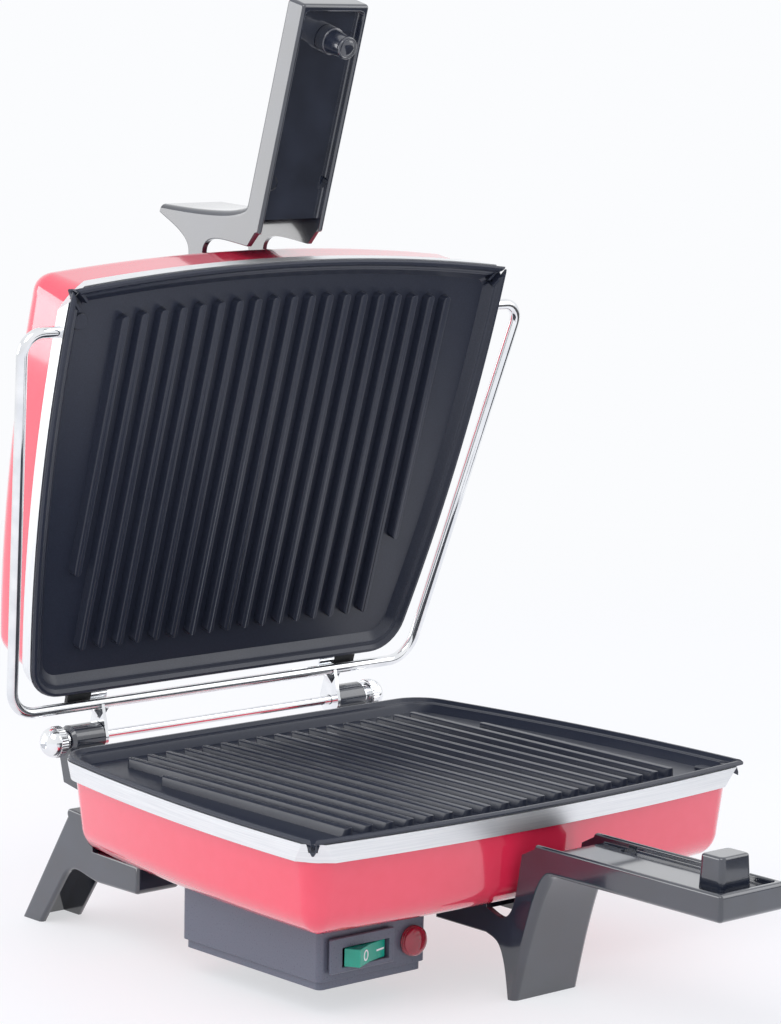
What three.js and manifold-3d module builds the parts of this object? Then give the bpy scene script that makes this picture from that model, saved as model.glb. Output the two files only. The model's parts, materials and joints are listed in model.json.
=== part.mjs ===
// Contact grill whose floating lid hangs in a wire bail on a friction hinge.
// Units are millimetres, +X is right, +Y is the back, +Z is up, and the worktop is Z = 0.
// The base and the lid share one set of pressings and castings, so both are built in the
// same half frame: origin at the plan centre on the plate plane, +Z on the cooking side.
import * as THREE from "three";
import { ConvexGeometry } from "three/addons/geometries/ConvexGeometry.js";
import { mergeVertices } from "three/addons/utils/BufferGeometryUtils.js";
import Module from "manifold-3d";

const wasm = await Module();
wasm.setup();

// Stance and pose
const plateHeight = 96.5;
const planCentreY = 34.595;
const openAngle = THREE.MathUtils.degToRad(74.03);
const seatGap = 0.3;
const overrun = 2;

// Plan outline of both halves
const plateDepth = 241.3;
const frontHalfWidth = 150;
const backHalfWidth = 127.7;
const frontBulge = 9.4;
const sideBulge = 6.5;
const backCornerRadius = 28.3;
const halfDepth = plateDepth / 2;

// Trim band
const bandHeight = 10.5;
const bandTaper = 2;
const bandWall = 0.8;
const bandLipWidth = 2.6;
const bandChamfer = 9;
const bandFootRadius = 15;

// Enamelled shell
const shellDepth = 50.1;
const shellWall = 1;
const shellTopInset = 4.3;
const shellFootInset = 7.8;
const shellFilletRadius = 14;
const shellCornerRadius = 15;
const shellLap = 4;

// Grill plate casting
const rimCrest = 2.2;
const rimWidth = 4.2;
const ledgeWidth = 2.2;
const ledgeDrop = 0.4;
const wallRun = 4.1;
const rimCrestFromShare = 0.28;
const rimCrestToShare = 0.62;
const wallKneeRunShare = 0.3;
const wallKneeDropShare = 0.45;
const plateFloorDepth = 4.5;
const plateWall = 4.5;
const plateSkirtInset = 6;
const plateCornerRadius = 1.2;
const ribPitch = 12.37;
const ribCount = 19;
const ribWidth = 7;
const ribCrown = 1.6;
const ribShoulderShare = 0.4;
const ribShoulderDropShare = 0.42;
const ribFrontGap = 20.3;
const ribFrontBow = 5.95;
const ribBackGap = 25.8;
const ribShortGap = 69.7;
const castingBossRadius = 4.6;
const castingBossX = 138;
const castingBossFromFront = 29;

// Pouring spouts at the front corners
const spoutAngle = THREE.MathUtils.degToRad(46);
const spoutHalfWidth = 4.2;
const spoutTipHalfWidth = 1.5;
const spoutReach = 2.6;
const spoutDrop = 5.2;
const spoutLipThickness = 1.6;
const spoutRootShare = 1.25;
const spoutThroatShare = 0.72;
const spoutThroatLipShare = 1.2;
const notchRootShare = 1.15;
const notchFloorShare = 0.8;
const notchMouthShare = 1.25;

// Heating and clamping inside each half
const elementRadius = 3.3;
const elementHalfWidth = 75;
const elementFrontGap = 57.65;
const elementBackGap = 32.65;
const elementFrontY = halfDepth - elementFrontGap;
const elementBackY = halfDepth - elementBackGap;
const elementBend = 34;
const terminalRadius = 1.5;
const terminalLength = 9;
const trayDepth = 20;
const trayWall = 0.8;
const trayInset = 12;
const trayLip = 6;
const bossRadius = 6;
const tieBoltRadius = 2;
const tieBoltX = 12;
const tieBoltHeadRadius = 4.5;
const tieBoltHeadHeight = 2.6;
const tieBoltBite = 5;
const spacerRadius = 4.5;
const trayScrewGap = 28.65;
const trayScrewY = halfDepth - trayScrewGap;
const thermostatRadius = 9;
const thermostatHeight = 8;
const thermostatBodyShare = 0.75;
const thermostatY = 20;

// Leg and handle moulding, and the feet, with depths from a datum inside the plate's edge
const datumInset = 120.65;
const datumShift = halfDepth - datumInset;
const handleReach = 255.5;
const handleRailTop = 14.3;
const handleUnderside = 28.3;
const channelFloor = 18;
const handleWidth = 45;
const railWidth = 3;
const handleEndWall = 4;
const channelInnerY = 137;
const railNoseY = 130;
const rearEdgeTopY = 121.3;
const rearEdgeTopDrop = 21;
const legWeb = 3;
const toeFrontY = 118.6;
const toeBackY = 113.7;
const shinFrontY = 125.6;
const shinDrop = 68.6;
const kneeFrontY = 133;
const kneeDrop = 45;
const haunchY = 139.5;
const haunchDrop = 31.5;
const calfBackY = 110.3;
const calfDrop = 79;
const hockY = 105.5;
const armDepth = 15.5;
const armUnderside = shellDepth + armDepth;
const hockSag = 3.6;
const hockDrop = armUnderside + hockSag;
const armRearY = 60;
const armFrontY = 97;
const archY = 109;
const archGap = 5.3;
const archDrop = shellDepth + archGap;
const archShoulderY = 116.3;
const archShoulderDrop = 47;
const legEdgeRound = 1.4;
const ejectorRadius = 4;
const ejectorX = 17;
const ejectorY = 157;
const ejectorDepth = 0.6;
const handleBoltInset = 19;
const handleBoltY = handleReach - handleBoltInset;
const handleBoltRadius = 2;
const handleBoltHeadRadius = 4;
const handleBoltHeadHeight = 2.2;
const handleBoltRise = 5.5;

// Handle stop block and pin
const stopWidth = 21.5;
const stopLength = 16.5;
const stopTopDrop = 0.5;
const stopDraft = 0.8;
const stopCorner = 3;
const pinRootRadius = 7.5;
const pinRadius = 6.1;
const pinTipRise = 1;
const pinShoulder = 6.3;
const pinNeck = 0.7;
const pinBeadLength = 2.4;

// Rear feet
const footInnerX = 90;
const footWidth = 28;
const footWall = 3;
const footToeFrontY = 146.4;
const footToeBackY = 163.1;
const footNubY = 122.6;
const footNubDrop = 32;
const footNubInset = 5.2;
const footNubRun = 20.8;
const footArmFrontY = 63;
const footArmDepth = 14.9;
const footArmUnderside = shellDepth + footArmDepth;
const footCrotchY = 125;
const footCrotchSag = 0.6;
const footCrotchDrop = footArmUnderside + footCrotchSag;
const footHaunchY = 116.2;
const footHaunchRise = 2.8;
const footHaunchDrop = footArmUnderside - footHaunchRise;
const footScrewY = 80;

// Switch box
const boxCentreX = -86.6;
const boxWidth = 70;
const boxSetback = 35.95;
const boxFrontY = boxSetback - halfDepth;
const boxLength = 106.6;
const boxDepth = 27.5;
const boxUnderside = shellDepth + boxDepth;
const boxWall = 2;
const boxCorner = 3;
const coverThickness = 4;
const coverInset = 1.5;
const coverScrewInset = 9;
const coverScrewRadius = 3;
const coverScrewDepth = 1.6;
const bezelCentreX = -96.1;
const bezelWidth = 41.7;
const bezelGap = 5.9;
const bezelTop = shellDepth + bezelGap;
const bezelHeight = 17.7;
const bezelProud = 2.7;
const bezelCorner = 1;
const switchBodyLength = 19;
const switchBodyMargin = 4;
const windowCentreX = -93.75;
const windowWidth = 30.5;
const windowInset = 5.3;
const windowTop = bezelTop + windowInset;
const windowHeight = 9.7;
const rockerHalf = 12.6;
const rockerRise = 6;
const rockerValley = 4.6;
const rockerSkirt = 8;
const rockerFlare = 1.8;
const rockerPivotDepth = 0.3;
const rockerRest = THREE.MathUtils.degToRad(20);
const rockerAxleRadius = 1.6;
const lampX = -61.3;
const lampGap = 15.6;
const lampDrop = shellDepth + lampGap;
const lampRadius = 7.7;
const lampFaceRadius = 5.4;
const lampProud = 4.6;
const lampRimShare = 0.45;
const lampBevelShare = 0.8;
const lampShankRadius = 5;
const lampShankLength = 12;
const glandRadius = 8;
const glandFootGap = 1;
const glandX = glandRadius + glandFootGap - footInnerX;
const glandBore = 3.4;
const glandFlange = 2.4;
const glandNeckRadius = 5.6;
const terminalBlockWidth = 28;
const terminalBlockLength = 14;
const terminalBlockHeight = 11;
const terminalBlockInset = 69.7;
const terminalBlockY = boxFrontY + terminalBlockInset;

// Friction hinge
const hingeBehindEdge = 23.75;
const hingeY = halfDepth + hingeBehindEdge;
const hingeRise = 1;
const hingeDepth = 6.4;
const lugInnerX = 83.3;
const lugWidth = 20.2;
const lugRadius = 8;
const lugPadBottom = 27;
const lugPadDepth = 5;
const lugArmBackAngle = THREE.MathUtils.degToRad(-17);
const lugArmFrontAngle = THREE.MathUtils.degToRad(207);
const rodRadius = 2.5;
const rodBore = 2.8;
const rodInLug = 14;
const knobCollarRadius = 5.2;
const knobCollarWidth = 3.4;
const knobRadius = 8.5;
const knobKnurlWidth = 5;
const knobDome = 6.6;
const knobNeck = 2.4;
const knobSocketRadius = 2.9;
const knobSocketDepth = 3.4;
const knobSides = 18;

// Bail and its brackets
const bailRadius = 3;
const bailPivotFromBack = 207.1;
const bailPivotDrop = 4.5;
const bailPivotClearance = 0.3;
const bailEndInset = 5.6;
const bailArmFrontX = 172.2;
const bailArmBackX = 139.5;
const bailShoulderBend = 10.4;
const bailCornerBend = 17.2;
const bailRodGap = 6.7;
const bailRodRise = 1.84;
const bracketThickness = 2;
const bracketEyeRadius = 8;
const bracketTopHalf = 3.4;
const bracketWeldHalf = 5;

// Lid rests on the bail
const bumperInnerX = 86.3;
const bumperWidth = 15;
const bumperReach = 9;
const bumperThickness = 2.8;
const bumperLegDepth = 25;
const bumperLegWall = 2.3;
const clipWidth = 11;
const clipWall = 1;
const clipReach = 6;

// Facet counts
const frontSteps = 6;
const sideSteps = 5;
const cornerSteps = 3;
const filletSteps = 3;
const ribEndSteps = 2;
const roundSides = 16;
const bendSteps = 4;
const domeSteps = 4;
const shinSteps = 8;
const legCurveSteps = 6;
const wireQuarters = 4;

const materials = {
  enamel: new THREE.MeshStandardMaterial({ color: "#d9142e", roughness: 0.18, metalness: 0 }),
  brushed: new THREE.MeshStandardMaterial({ color: "#d9dce0", roughness: 0.35, metalness: 1 }),
  coating: new THREE.MeshStandardMaterial({ color: "#23262e", roughness: 0.55, metalness: 0.1 }),
  chrome: new THREE.MeshStandardMaterial({ color: "#e3e6ea", roughness: 0.08, metalness: 1 }),
  bakelite: new THREE.MeshStandardMaterial({ color: "#1b1c20", roughness: 0.3, metalness: 0 }),
  box: new THREE.MeshStandardMaterial({ color: "#2c2d32", roughness: 0.55, metalness: 0 }),
  rocker: new THREE.MeshStandardMaterial({ color: "#2fb59b", roughness: 0.3, metalness: 0 }),
  lens: new THREE.MeshStandardMaterial({ color: "#c8102e", roughness: 0.12, metalness: 0 }),
  steel: new THREE.MeshStandardMaterial({ color: "#9b9ea3", roughness: 0.4, metalness: 1 }),
  rubber: new THREE.MeshStandardMaterial({ color: "#17181a", roughness: 0.8, metalness: 0 }),
  ceramic: new THREE.MeshStandardMaterial({ color: "#e6e1d6", roughness: 0.6, metalness: 0 }),
};

// Solids from three.js geometry, joined and cut as manifolds
function solidOf(geometry) {
  const bare = new THREE.BufferGeometry();
  const flat = geometry.index ? geometry.toNonIndexed() : geometry;
  bare.setAttribute("position", flat.getAttribute("position"));
  const welded = mergeVertices(bare);
  const index = welded.index.array;
  const triangles = [];
  for (let i = 0; i < index.length; i += 3) {
    const [a, b, c] = [index[i], index[i + 1], index[i + 2]];
    if (a !== b && b !== c && c !== a) triangles.push(a, b, c);
  }
  const vertProperties = welded.attributes.position.array;
  const make = (list) =>
    new wasm.Manifold(new wasm.Mesh({ numProp: 3, vertProperties, triVerts: new Uint32Array(list) }));
  const made = make(triangles);
  return made.volume() < 0 ? make(triangles.reverse()) : made;
}

function geometryOf(solid) {
  const mesh = solid.getMesh();
  const geometry = new THREE.BufferGeometry();
  geometry.setAttribute("position", new THREE.BufferAttribute(new Float32Array(mesh.vertProperties), 3));
  geometry.setIndex(new THREE.BufferAttribute(new Uint32Array(mesh.triVerts), 1));
  return geometry;
}

const join = (first, ...rest) => rest.reduce((whole, piece) => whole.add(piece), first);
const cut = (body, ...tools) => tools.reduce((left, tool) => left.subtract(tool), body);

// A box between two corners on each axis
function block([x0, x1], [y0, y1], [z0, z1]) {
  const geometry = new THREE.BoxGeometry(x1 - x0, y1 - y0, z1 - z0);
  geometry.translate((x0 + x1) / 2, (y0 + y1) / 2, (z0 + z1) / 2);
  return solidOf(geometry);
}

// A revolved profile of [radius, along] pairs, on an axis through a point
function turned(profile, axis, [x, y, z], sides = roundSides) {
  const points = profile.map(([radius, along]) => new THREE.Vector2(radius, along));
  const geometry = new THREE.LatheGeometry(points, sides);
  const up = new THREE.Vector3(0, 1, 0);
  geometry.applyQuaternion(new THREE.Quaternion().setFromUnitVectors(up, new THREE.Vector3(...axis)));
  geometry.translate(x, y, z);
  return solidOf(geometry);
}

function roundBar(radius, axis, from, length, sides) {
  return turned([[0, 0], [radius, 0], [radius, length], [0, length]], axis, from, sides);
}

const alongX = [1, 0, 0];
const alongY = [0, 1, 0];
const upward = [0, 0, 1];
const downward = [0, 0, -1];

// A side profile of [y, z] points, extruded across X, with rounded long edges if asked
function sideProfile(points, [x0, x1], round = 0) {
  const shape = new THREE.Shape(points.map(([y, z]) => new THREE.Vector2(y, z)));
  const geometry = new THREE.ExtrudeGeometry(shape, {
    depth: x1 - x0 - 2 * round,
    bevelEnabled: round > 0,
    bevelThickness: round,
    bevelSize: round,
    bevelOffset: -round,
    bevelSegments: 1,
  });
  geometry.translate(0, 0, x0 + round);
  const toSide = new THREE.Matrix4().makeBasis(
    new THREE.Vector3(0, 1, 0),
    new THREE.Vector3(0, 0, 1),
    new THREE.Vector3(1, 0, 0),
  );
  return solidOf(geometry.applyMatrix4(toSide));
}

// Smooth a chain of [y, z] points into a curve that keeps its ends
function smoothed(points, steps) {
  const curve = new THREE.SplineCurve(points.map(([y, z]) => new THREE.Vector2(y, z)));
  return curve.getPoints(steps).map((point) => [point.x, point.y]);
}

function roundedRectangle(width, height, corner) {
  const shape = new THREE.Shape();
  const [w, h] = [width / 2, height / 2];
  shape.moveTo(-w + corner, -h);
  shape.lineTo(w - corner, -h);
  shape.absarc(w - corner, -h + corner, corner, -Math.PI / 2, 0);
  shape.absarc(w - corner, h - corner, corner, 0, Math.PI / 2);
  shape.absarc(-w + corner, h - corner, corner, Math.PI / 2, Math.PI);
  shape.absarc(-w + corner, -h + corner, corner, Math.PI, 1.5 * Math.PI);
  return shape;
}

// A rounded rectangle raised along Z, or laid against a front face and raised along -Y
function roundedPad(width, height, corner, [x, y, z], rise, facing = "up") {
  const shape = roundedRectangle(width, height, corner);
  const options = { depth: rise, bevelEnabled: false, curveSegments: filletSteps };
  const geometry = new THREE.ExtrudeGeometry(shape, options);
  if (facing === "front") geometry.rotateX(Math.PI / 2);
  geometry.translate(x, y, z);
  return solidOf(geometry);
}

// Half width of the plan at a depth y, and its slope
const cornerY = -plateDepth / 2 + frontBulge;
function sideAt(y) {
  const t = (y - cornerY) / (plateDepth - frontBulge);
  const x = frontHalfWidth + (backHalfWidth - frontHalfWidth) * t + 4 * sideBulge * t * (1 - t);
  const slope =
    (backHalfWidth - frontHalfWidth + 4 * sideBulge * (1 - 2 * t)) / (plateDepth - frontBulge);
  return { x, slope };
}

function frontAt(x) {
  const share = x / frontHalfWidth;
  const y = -plateDepth / 2 + frontBulge * share * share;
  return { y, slope: (2 * frontBulge * share) / frontHalfWidth };
}

// The plan outline moved in by an inset, anticlockwise from the front left corner
function outline(inset, frontRadius, chamfer = 0) {
  const centre = { x: frontHalfWidth - inset - frontRadius, y: cornerY + inset + frontRadius };
  for (let i = 0; i < 4; i += 1) {
    const side = sideAt(centre.y);
    const front = frontAt(centre.x);
    centre.x = side.x - (inset + frontRadius) * Math.hypot(1, side.slope);
    centre.y = front.y + (inset + frontRadius) * Math.hypot(1, front.slope);
  }
  const front = frontAt(centre.x);
  const side = sideAt(centre.y);
  const start = Math.atan2(-1, front.slope);
  const end = Math.atan2(-side.slope, 1);
  const right = [];
  const corner = [];
  for (let i = 0; i <= cornerSteps; i += 1) {
    const angle = start + ((end - start) * i) / cornerSteps;
    corner.push(
      new THREE.Vector2(centre.x + frontRadius * Math.cos(angle), centre.y + frontRadius * Math.sin(angle)),
    );
  }
  corner.forEach((point, i) => {
    const straight = new THREE.Vector2().lerpVectors(corner[0], corner[cornerSteps], i / cornerSteps);
    right.push(point.clone().lerp(straight, chamfer));
  });
  const backRadius = backCornerRadius - inset;
  const backY = plateDepth / 2 - inset;
  const backCentreY = backY - backRadius;
  const backSide = sideAt(backCentreY);
  const backAngle = Math.atan2(-backSide.slope, 1);
  const edgeX = backSide.x - inset * Math.hypot(1, backSide.slope);
  const backCentre = new THREE.Vector2(
    edgeX - backRadius * Math.cos(backAngle),
    backCentreY - backRadius * Math.sin(backAngle),
  );
  const fromY = right[cornerSteps].y;
  for (let i = 1; i < sideSteps; i += 1) {
    const y = fromY + ((backCentreY - fromY) * i) / sideSteps;
    const here = sideAt(y);
    right.push(new THREE.Vector2(here.x - inset * Math.hypot(1, here.slope), y));
  }
  for (let i = 0; i <= cornerSteps; i += 1) {
    const angle = backAngle + ((Math.PI / 2 - backAngle) * i) / cornerSteps;
    const reach = backY - backCentre.y;
    right.push(
      new THREE.Vector2(
        backCentre.x + backRadius * Math.cos(angle),
        backCentre.y + (i === cornerSteps ? reach : backRadius * Math.sin(angle)),
      ),
    );
  }
  const middle = [];
  const halfFront = corner[0].x;
  for (let i = 1; i < frontSteps; i += 1) {
    const x = -halfFront + (2 * halfFront * i) / frontSteps;
    middle.push(new THREE.Vector2(x, frontAt(x).y + inset * Math.hypot(1, frontAt(x).slope)));
  }
  const left = right.map((point) => new THREE.Vector2(-point.x, point.y)).reverse();
  return [...middle, ...right, ...left];
}

// Closed rings of equal counts stitched into a solid; a loop joins its last ring to its first
function loft(rings, loop = false) {
  const count = rings[0].points.length;
  const positions = rings.flatMap(({ points, z }) => points.flatMap((point) => [point.x, point.y, z]));
  const index = [];
  const last = loop ? rings.length : rings.length - 1;
  for (let r = 0; r < last; r += 1) {
    const next = (r + 1) % rings.length;
    for (let i = 0; i < count; i += 1) {
      const j = (i + 1) % count;
      const [a, b, c, d] = [r * count + i, r * count + j, next * count + j, next * count + i];
      index.push(a, b, c, a, c, d);
    }
  }
  if (!loop) {
    const cap = (ring, base, flip) => {
      for (const [a, b, c] of THREE.ShapeUtils.triangulateShape(ring.points, [])) {
        index.push(...(flip ? [base + c, base + b, base + a] : [base + a, base + b, base + c]));
      }
    };
    cap(rings[0], 0, true);
    cap(rings[rings.length - 1], (rings.length - 1) * count, false);
  }
  const geometry = new THREE.BufferGeometry();
  geometry.setAttribute("position", new THREE.Float32BufferAttribute(positions, 3));
  geometry.setIndex(index);
  return solidOf(geometry);
}

const ring = (inset, z, frontRadius, chamfer) => ({ points: outline(inset, frontRadius, chamfer), z });

// Rings of the shell's skin from its top edge to its floor, moved in by a wall
function shellSkin(wall) {
  const filletTop = shellDepth - shellFilletRadius;
  const fillet = shellFilletRadius - wall;
  const corner = (inset) => shellCornerRadius - inset + shellTopInset;
  const rings = [ring(shellTopInset + wall, -bandHeight + shellLap, corner(shellTopInset + wall))];
  for (let i = 0; i <= filletSteps; i += 1) {
    const angle = (Math.PI / 2) * (i / filletSteps);
    const inset = shellFootInset + wall + fillet * (1 - Math.cos(angle));
    const radius = Math.max(corner(inset), shellWall);
    rings.push(ring(inset, -filletTop - fillet * Math.sin(angle), radius));
  }
  return rings;
}

const shellSolid = (grow) => {
  const rings = shellSkin(-grow);
  rings[0].z += overrun;
  return loft(rings);
};

function shell(ownHoles) {
  const outer = shellSkin(0).reverse();
  const inner = shellSkin(shellWall);
  const pan = loft([...outer, ...inner]);
  return cut(pan, ...bailHoles(), ...tieBoltPlaces().map(tieBoltHole), ...ownHoles);
}

function band() {
  const lipZ = -bandHeight + bandWall;
  const footInset = bandTaper + bandWall;
  const rings = [
    ring(0, -seatGap, bandChamfer, 1),
    ring(bandTaper, -bandHeight, bandFootRadius, 0),
    ring(shellTopInset - seatGap, -bandHeight, bandFootRadius, 0),
    ring(shellTopInset - seatGap, lipZ, bandFootRadius, 0),
    ring(footInset, lipZ, bandFootRadius, 0),
    ring(bandWall, -seatGap - bandWall, bandChamfer, 1),
    ring(bandLipWidth, -seatGap - bandWall, bandChamfer, 1),
    ring(bandLipWidth, -seatGap, bandChamfer, 1),
  ];
  return cut(loft(rings, true), ...bailHoles(), spoutTongue(-1, seatGap), spoutTongue(1, seatGap));
}

// Bores for the two ends of the bail wire
function bailHoles() {
  const y = plateDepth / 2 - bailPivotFromBack;
  const reach = sideAt(y).x + overrun;
  const inner = reach - bailEndInset - 2 * overrun;
  const radius = bailRadius + bailPivotClearance;
  return [-1, 1].map((side) =>
    roundBar(radius, [side, 0, 0], [side * inner, y, -bailPivotDrop], reach - inner + overrun),
  );
}

// Points across a spout at a distance along its diagonal from the sharp corner
function spoutSection(side, along, halfWidth, low, high) {
  const [c, s] = [Math.cos(spoutAngle), Math.sin(spoutAngle)];
  const x = frontHalfWidth + along * c;
  const y = cornerY - along * s;
  const at = (edge, z) => [side * (x + edge * halfWidth * s), y + edge * halfWidth * c, z];
  return [-1, 1].flatMap((edge) => [low, high].map((z) => new THREE.Vector3(...at(edge, z))));
}

const spoutRoot = -(rimWidth + ledgeWidth + wallRun) * spoutRootShare;
const spoutThroat = -bandChamfer * spoutThroatShare;

function spoutTongue(side, grow) {
  const points = [
    ...spoutSection(
      side,
      spoutRoot,
      spoutHalfWidth + grow,
      -plateFloorDepth - spoutLipThickness - grow,
      -plateFloorDepth + grow,
    ),
    ...spoutSection(
      side,
      spoutThroat,
      spoutHalfWidth + grow,
      -plateFloorDepth + spoutLipThickness / 2 - grow,
      -plateFloorDepth + spoutThroatLipShare * spoutLipThickness + grow,
    ),
    ...spoutSection(
      side,
      spoutThroat + spoutReach + grow,
      spoutTipHalfWidth + grow,
      -spoutDrop - grow,
      -spoutDrop + spoutLipThickness / 2 + grow,
    ),
  ];
  return solidOf(new ConvexGeometry(points));
}

function spoutNotch(side) {
  const high = rimCrest + overrun;
  const floor = -plateFloorDepth;
  const points = [
    ...spoutSection(side, spoutRoot * notchRootShare, spoutHalfWidth * notchFloorShare, floor, high),
    ...spoutSection(side, spoutThroat, spoutHalfWidth, floor + spoutLipThickness, high),
    ...spoutSection(side, overrun, spoutHalfWidth * notchMouthShare, floor, high),
  ];
  return solidOf(new ConvexGeometry(points));
}

// A rib with a narrow crest, wide foot and round ends
function rib(x, frontY, backY) {
  const capsule = (halfWidth, z) => {
    const points = [];
    for (let end = 0; end < 2; end += 1) {
      const [y, from] = end ? [backY - halfWidth, 0] : [frontY + halfWidth, Math.PI];
      for (let i = 0; i <= ribEndSteps; i += 1) {
        const angle = from + (Math.PI * i) / ribEndSteps;
        points.push(new THREE.Vector2(x + halfWidth * Math.cos(angle), y + halfWidth * Math.sin(angle)));
      }
    }
    return { points, z };
  };
  return loft([
    capsule(ribWidth / 2, -plateFloorDepth - ledgeDrop),
    capsule(ribWidth * ribShoulderShare, -plateFloorDepth * ribShoulderDropShare),
    capsule(ribCrown / 2, 0),
  ]);
}

function grillPlate() {
  const rimInner = rimWidth + ledgeWidth;
  const floorInset = rimInner + wallRun;
  const skirtBottom = -plateFloorDepth - plateWall;
  const cornerOf = (inset) => plateCornerRadius + inset / 2;
  const level = (inset, z) => ring(inset, z, cornerOf(inset));
  const casting = loft([
    level(floorInset + plateWall / 2, skirtBottom),
    level(floorInset - ledgeWidth, skirtBottom + ledgeWidth),
    level(plateSkirtInset, -seatGap - bandWall),
    level(plateSkirtInset - ledgeDrop, 0),
    level(2 * seatGap, 0),
    level(seatGap, rimCrest / 2),
    level(rimWidth * rimCrestFromShare, rimCrest),
    level(rimWidth * rimCrestToShare, rimCrest),
    level(rimWidth, ledgeDrop),
    level(rimInner, -ledgeDrop),
    level(rimInner + wallRun * wallKneeRunShare, -plateFloorDepth * wallKneeDropShare),
    level(floorInset, -plateFloorDepth),
  ]);
  const ribs = [];
  const halfSpan = (ribCount - 1) / 2;
  for (let i = 0; i < ribCount; i += 1) {
    const offset = i - halfSpan;
    const share = offset / halfSpan;
    const frontY = -plateDepth / 2 + ribFrontGap + ribFrontBow * share * share;
    const outermost = i === 0 || i === ribCount - 1;
    ribs.push(rib(offset * ribPitch, frontY, plateDepth / 2 - (outermost ? ribShortGap : ribBackGap)));
  }
  const sideBosses = [-1, 1].map((side) =>
    roundBar(
      castingBossRadius,
      upward,
      [side * castingBossX, -plateDepth / 2 + castingBossFromFront, -plateFloorDepth - ledgeDrop],
      plateFloorDepth - ledgeDrop,
      roundSides / 2,
    ),
  );
  const bossFrom = skirtBottom + ledgeWidth;
  const bossHeight = trayDepth - trayWall - seatGap + bossFrom;
  const bosses = bossPlaces().map(([x, y]) =>
    roundBar(bossRadius, downward, [x, y, bossFrom], bossHeight, roundSides / 2),
  );
  const bores = bossPlaces().map(([x, y]) =>
    roundBar(
      tieBoltRadius + seatGap,
      upward,
      [x, y, -trayDepth - overrun],
      tieBoltBite + trayWall + overrun + seatGap,
      roundSides / 2,
    ),
  );
  const notched = cut(casting, spoutNotch(-1), spoutNotch(1));
  const tongues = [spoutTongue(-1, 0), spoutTongue(1, 0)];
  return cut(join(notched, ...tongues, ...ribs, ...sideBosses, ...bosses), ...bores);
}

// Clamping bolts through the moulding's flange, the shell and a spacer into the plate
const tieBoltY = -(armFrontY + armRearY) / 2 - datumShift;
const tieBoltPlaces = () => [-1, 1].map((side) => [side * tieBoltX, tieBoltY]);
const bossPlaces = () => [...tieBoltPlaces(), [0, trayScrewY]];

function tieBoltHole([x, y]) {
  const depth = shellDepth + shellWall;
  return roundBar(tieBoltRadius + seatGap, upward, [x, y, -depth - overrun], 2 * shellWall + 2 * overrun);
}

function tieBolt([x, y]) {
  const headTop = -shellDepth - seatGap - legWeb - seatGap;
  const head = roundBar(tieBoltHeadRadius, downward, [x, y, headTop], tieBoltHeadHeight);
  const shankTop = -trayDepth + trayWall + tieBoltBite - seatGap;
  const shankFrom = [x, y, headTop - tieBoltHeadHeight / 2];
  const shank = roundBar(tieBoltRadius, upward, shankFrom, shankTop - headTop);
  return join(head, shank);
}

function tieSpacer([x, y]) {
  const bottom = -shellDepth + shellWall + seatGap;
  const height = shellDepth - shellWall - trayDepth - 2 * seatGap;
  const bore = tieBoltRadius + seatGap;
  const profile = [[bore, 0], [spacerRadius, 0], [spacerRadius, height], [bore, height], [bore, 0]];
  return turned(profile, upward, [x, y, bottom]);
}

function trayScrew() {
  const place = [0, trayScrewY, -trayDepth - seatGap];
  const head = roundBar(tieBoltHeadRadius, downward, place, tieBoltHeadHeight);
  const shankFrom = [0, trayScrewY, place[2] - seatGap];
  const shank = roundBar(tieBoltRadius, upward, shankFrom, tieBoltBite + trayWall);
  return join(head, shank);
}

function reflector() {
  const corner = shellCornerRadius;
  const tray = loft([
    ring(trayInset + trayWall, -trayDepth, corner),
    ring(trayInset, -trayDepth + trayLip, corner),
    ring(trayInset + trayWall, -trayDepth + trayLip, corner),
    ring(trayInset + 2 * trayWall, -trayDepth + trayWall, corner),
  ]);
  const radius = tieBoltRadius + seatGap;
  const from = -trayDepth - overrun;
  const holes = bossPlaces().map(([x, y]) =>
    roundBar(radius, upward, [x, y, from], trayLip + overrun, roundSides / 2),
  );
  return cut(tray, ...holes);
}

// A chain of straight runs and round bends as stations for a swept bar
class BentWire extends THREE.Curve {
  constructor(corners, bends) {
    super();
    this.stations = [corners[0]];
    for (let i = 1; i < corners.length - 1; i += 1) {
      const into = new THREE.Vector3().subVectors(corners[i], corners[i - 1]).normalize();
      const out = new THREE.Vector3().subVectors(corners[i + 1], corners[i]).normalize();
      const half = into.angleTo(out) / 2;
      const setback = bends[i - 1] * Math.tan(half);
      const start = corners[i].clone().addScaledVector(into, -setback);
      const inward = new THREE.Vector3().subVectors(out, into).normalize();
      const centre = corners[i].clone().addScaledVector(inward, bends[i - 1] / Math.cos(half));
      const axis = new THREE.Vector3().crossVectors(into, out).normalize();
      const arm = new THREE.Vector3().subVectors(start, centre);
      for (let k = 0; k <= bendSteps; k += 1) {
        this.stations.push(arm.clone().applyAxisAngle(axis, (2 * half * k) / bendSteps).add(centre));
      }
    }
    this.stations.push(corners[corners.length - 1]);
  }

  get steps() {
    return this.stations.length - 1;
  }

  getPoint(t) {
    const place = THREE.MathUtils.clamp(t, 0, 1) * this.steps;
    const i = Math.min(Math.floor(place), this.steps - 1);
    return new THREE.Vector3().lerpVectors(this.stations[i], this.stations[i + 1], place - i);
  }

  getPointAt(u) {
    return this.getPoint(u);
  }

  getTangentAt(u) {
    const i = Math.round(THREE.MathUtils.clamp(u, 0, 1) * this.steps);
    const before = this.stations[Math.max(i - 1, 0)];
    const here = this.stations[i];
    const after = this.stations[Math.min(i + 1, this.steps)];
    const into = new THREE.Vector3().subVectors(here, before).normalize();
    const out = new THREE.Vector3().subVectors(after, here).normalize();
    return into.add(out).normalize();
  }
}

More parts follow.
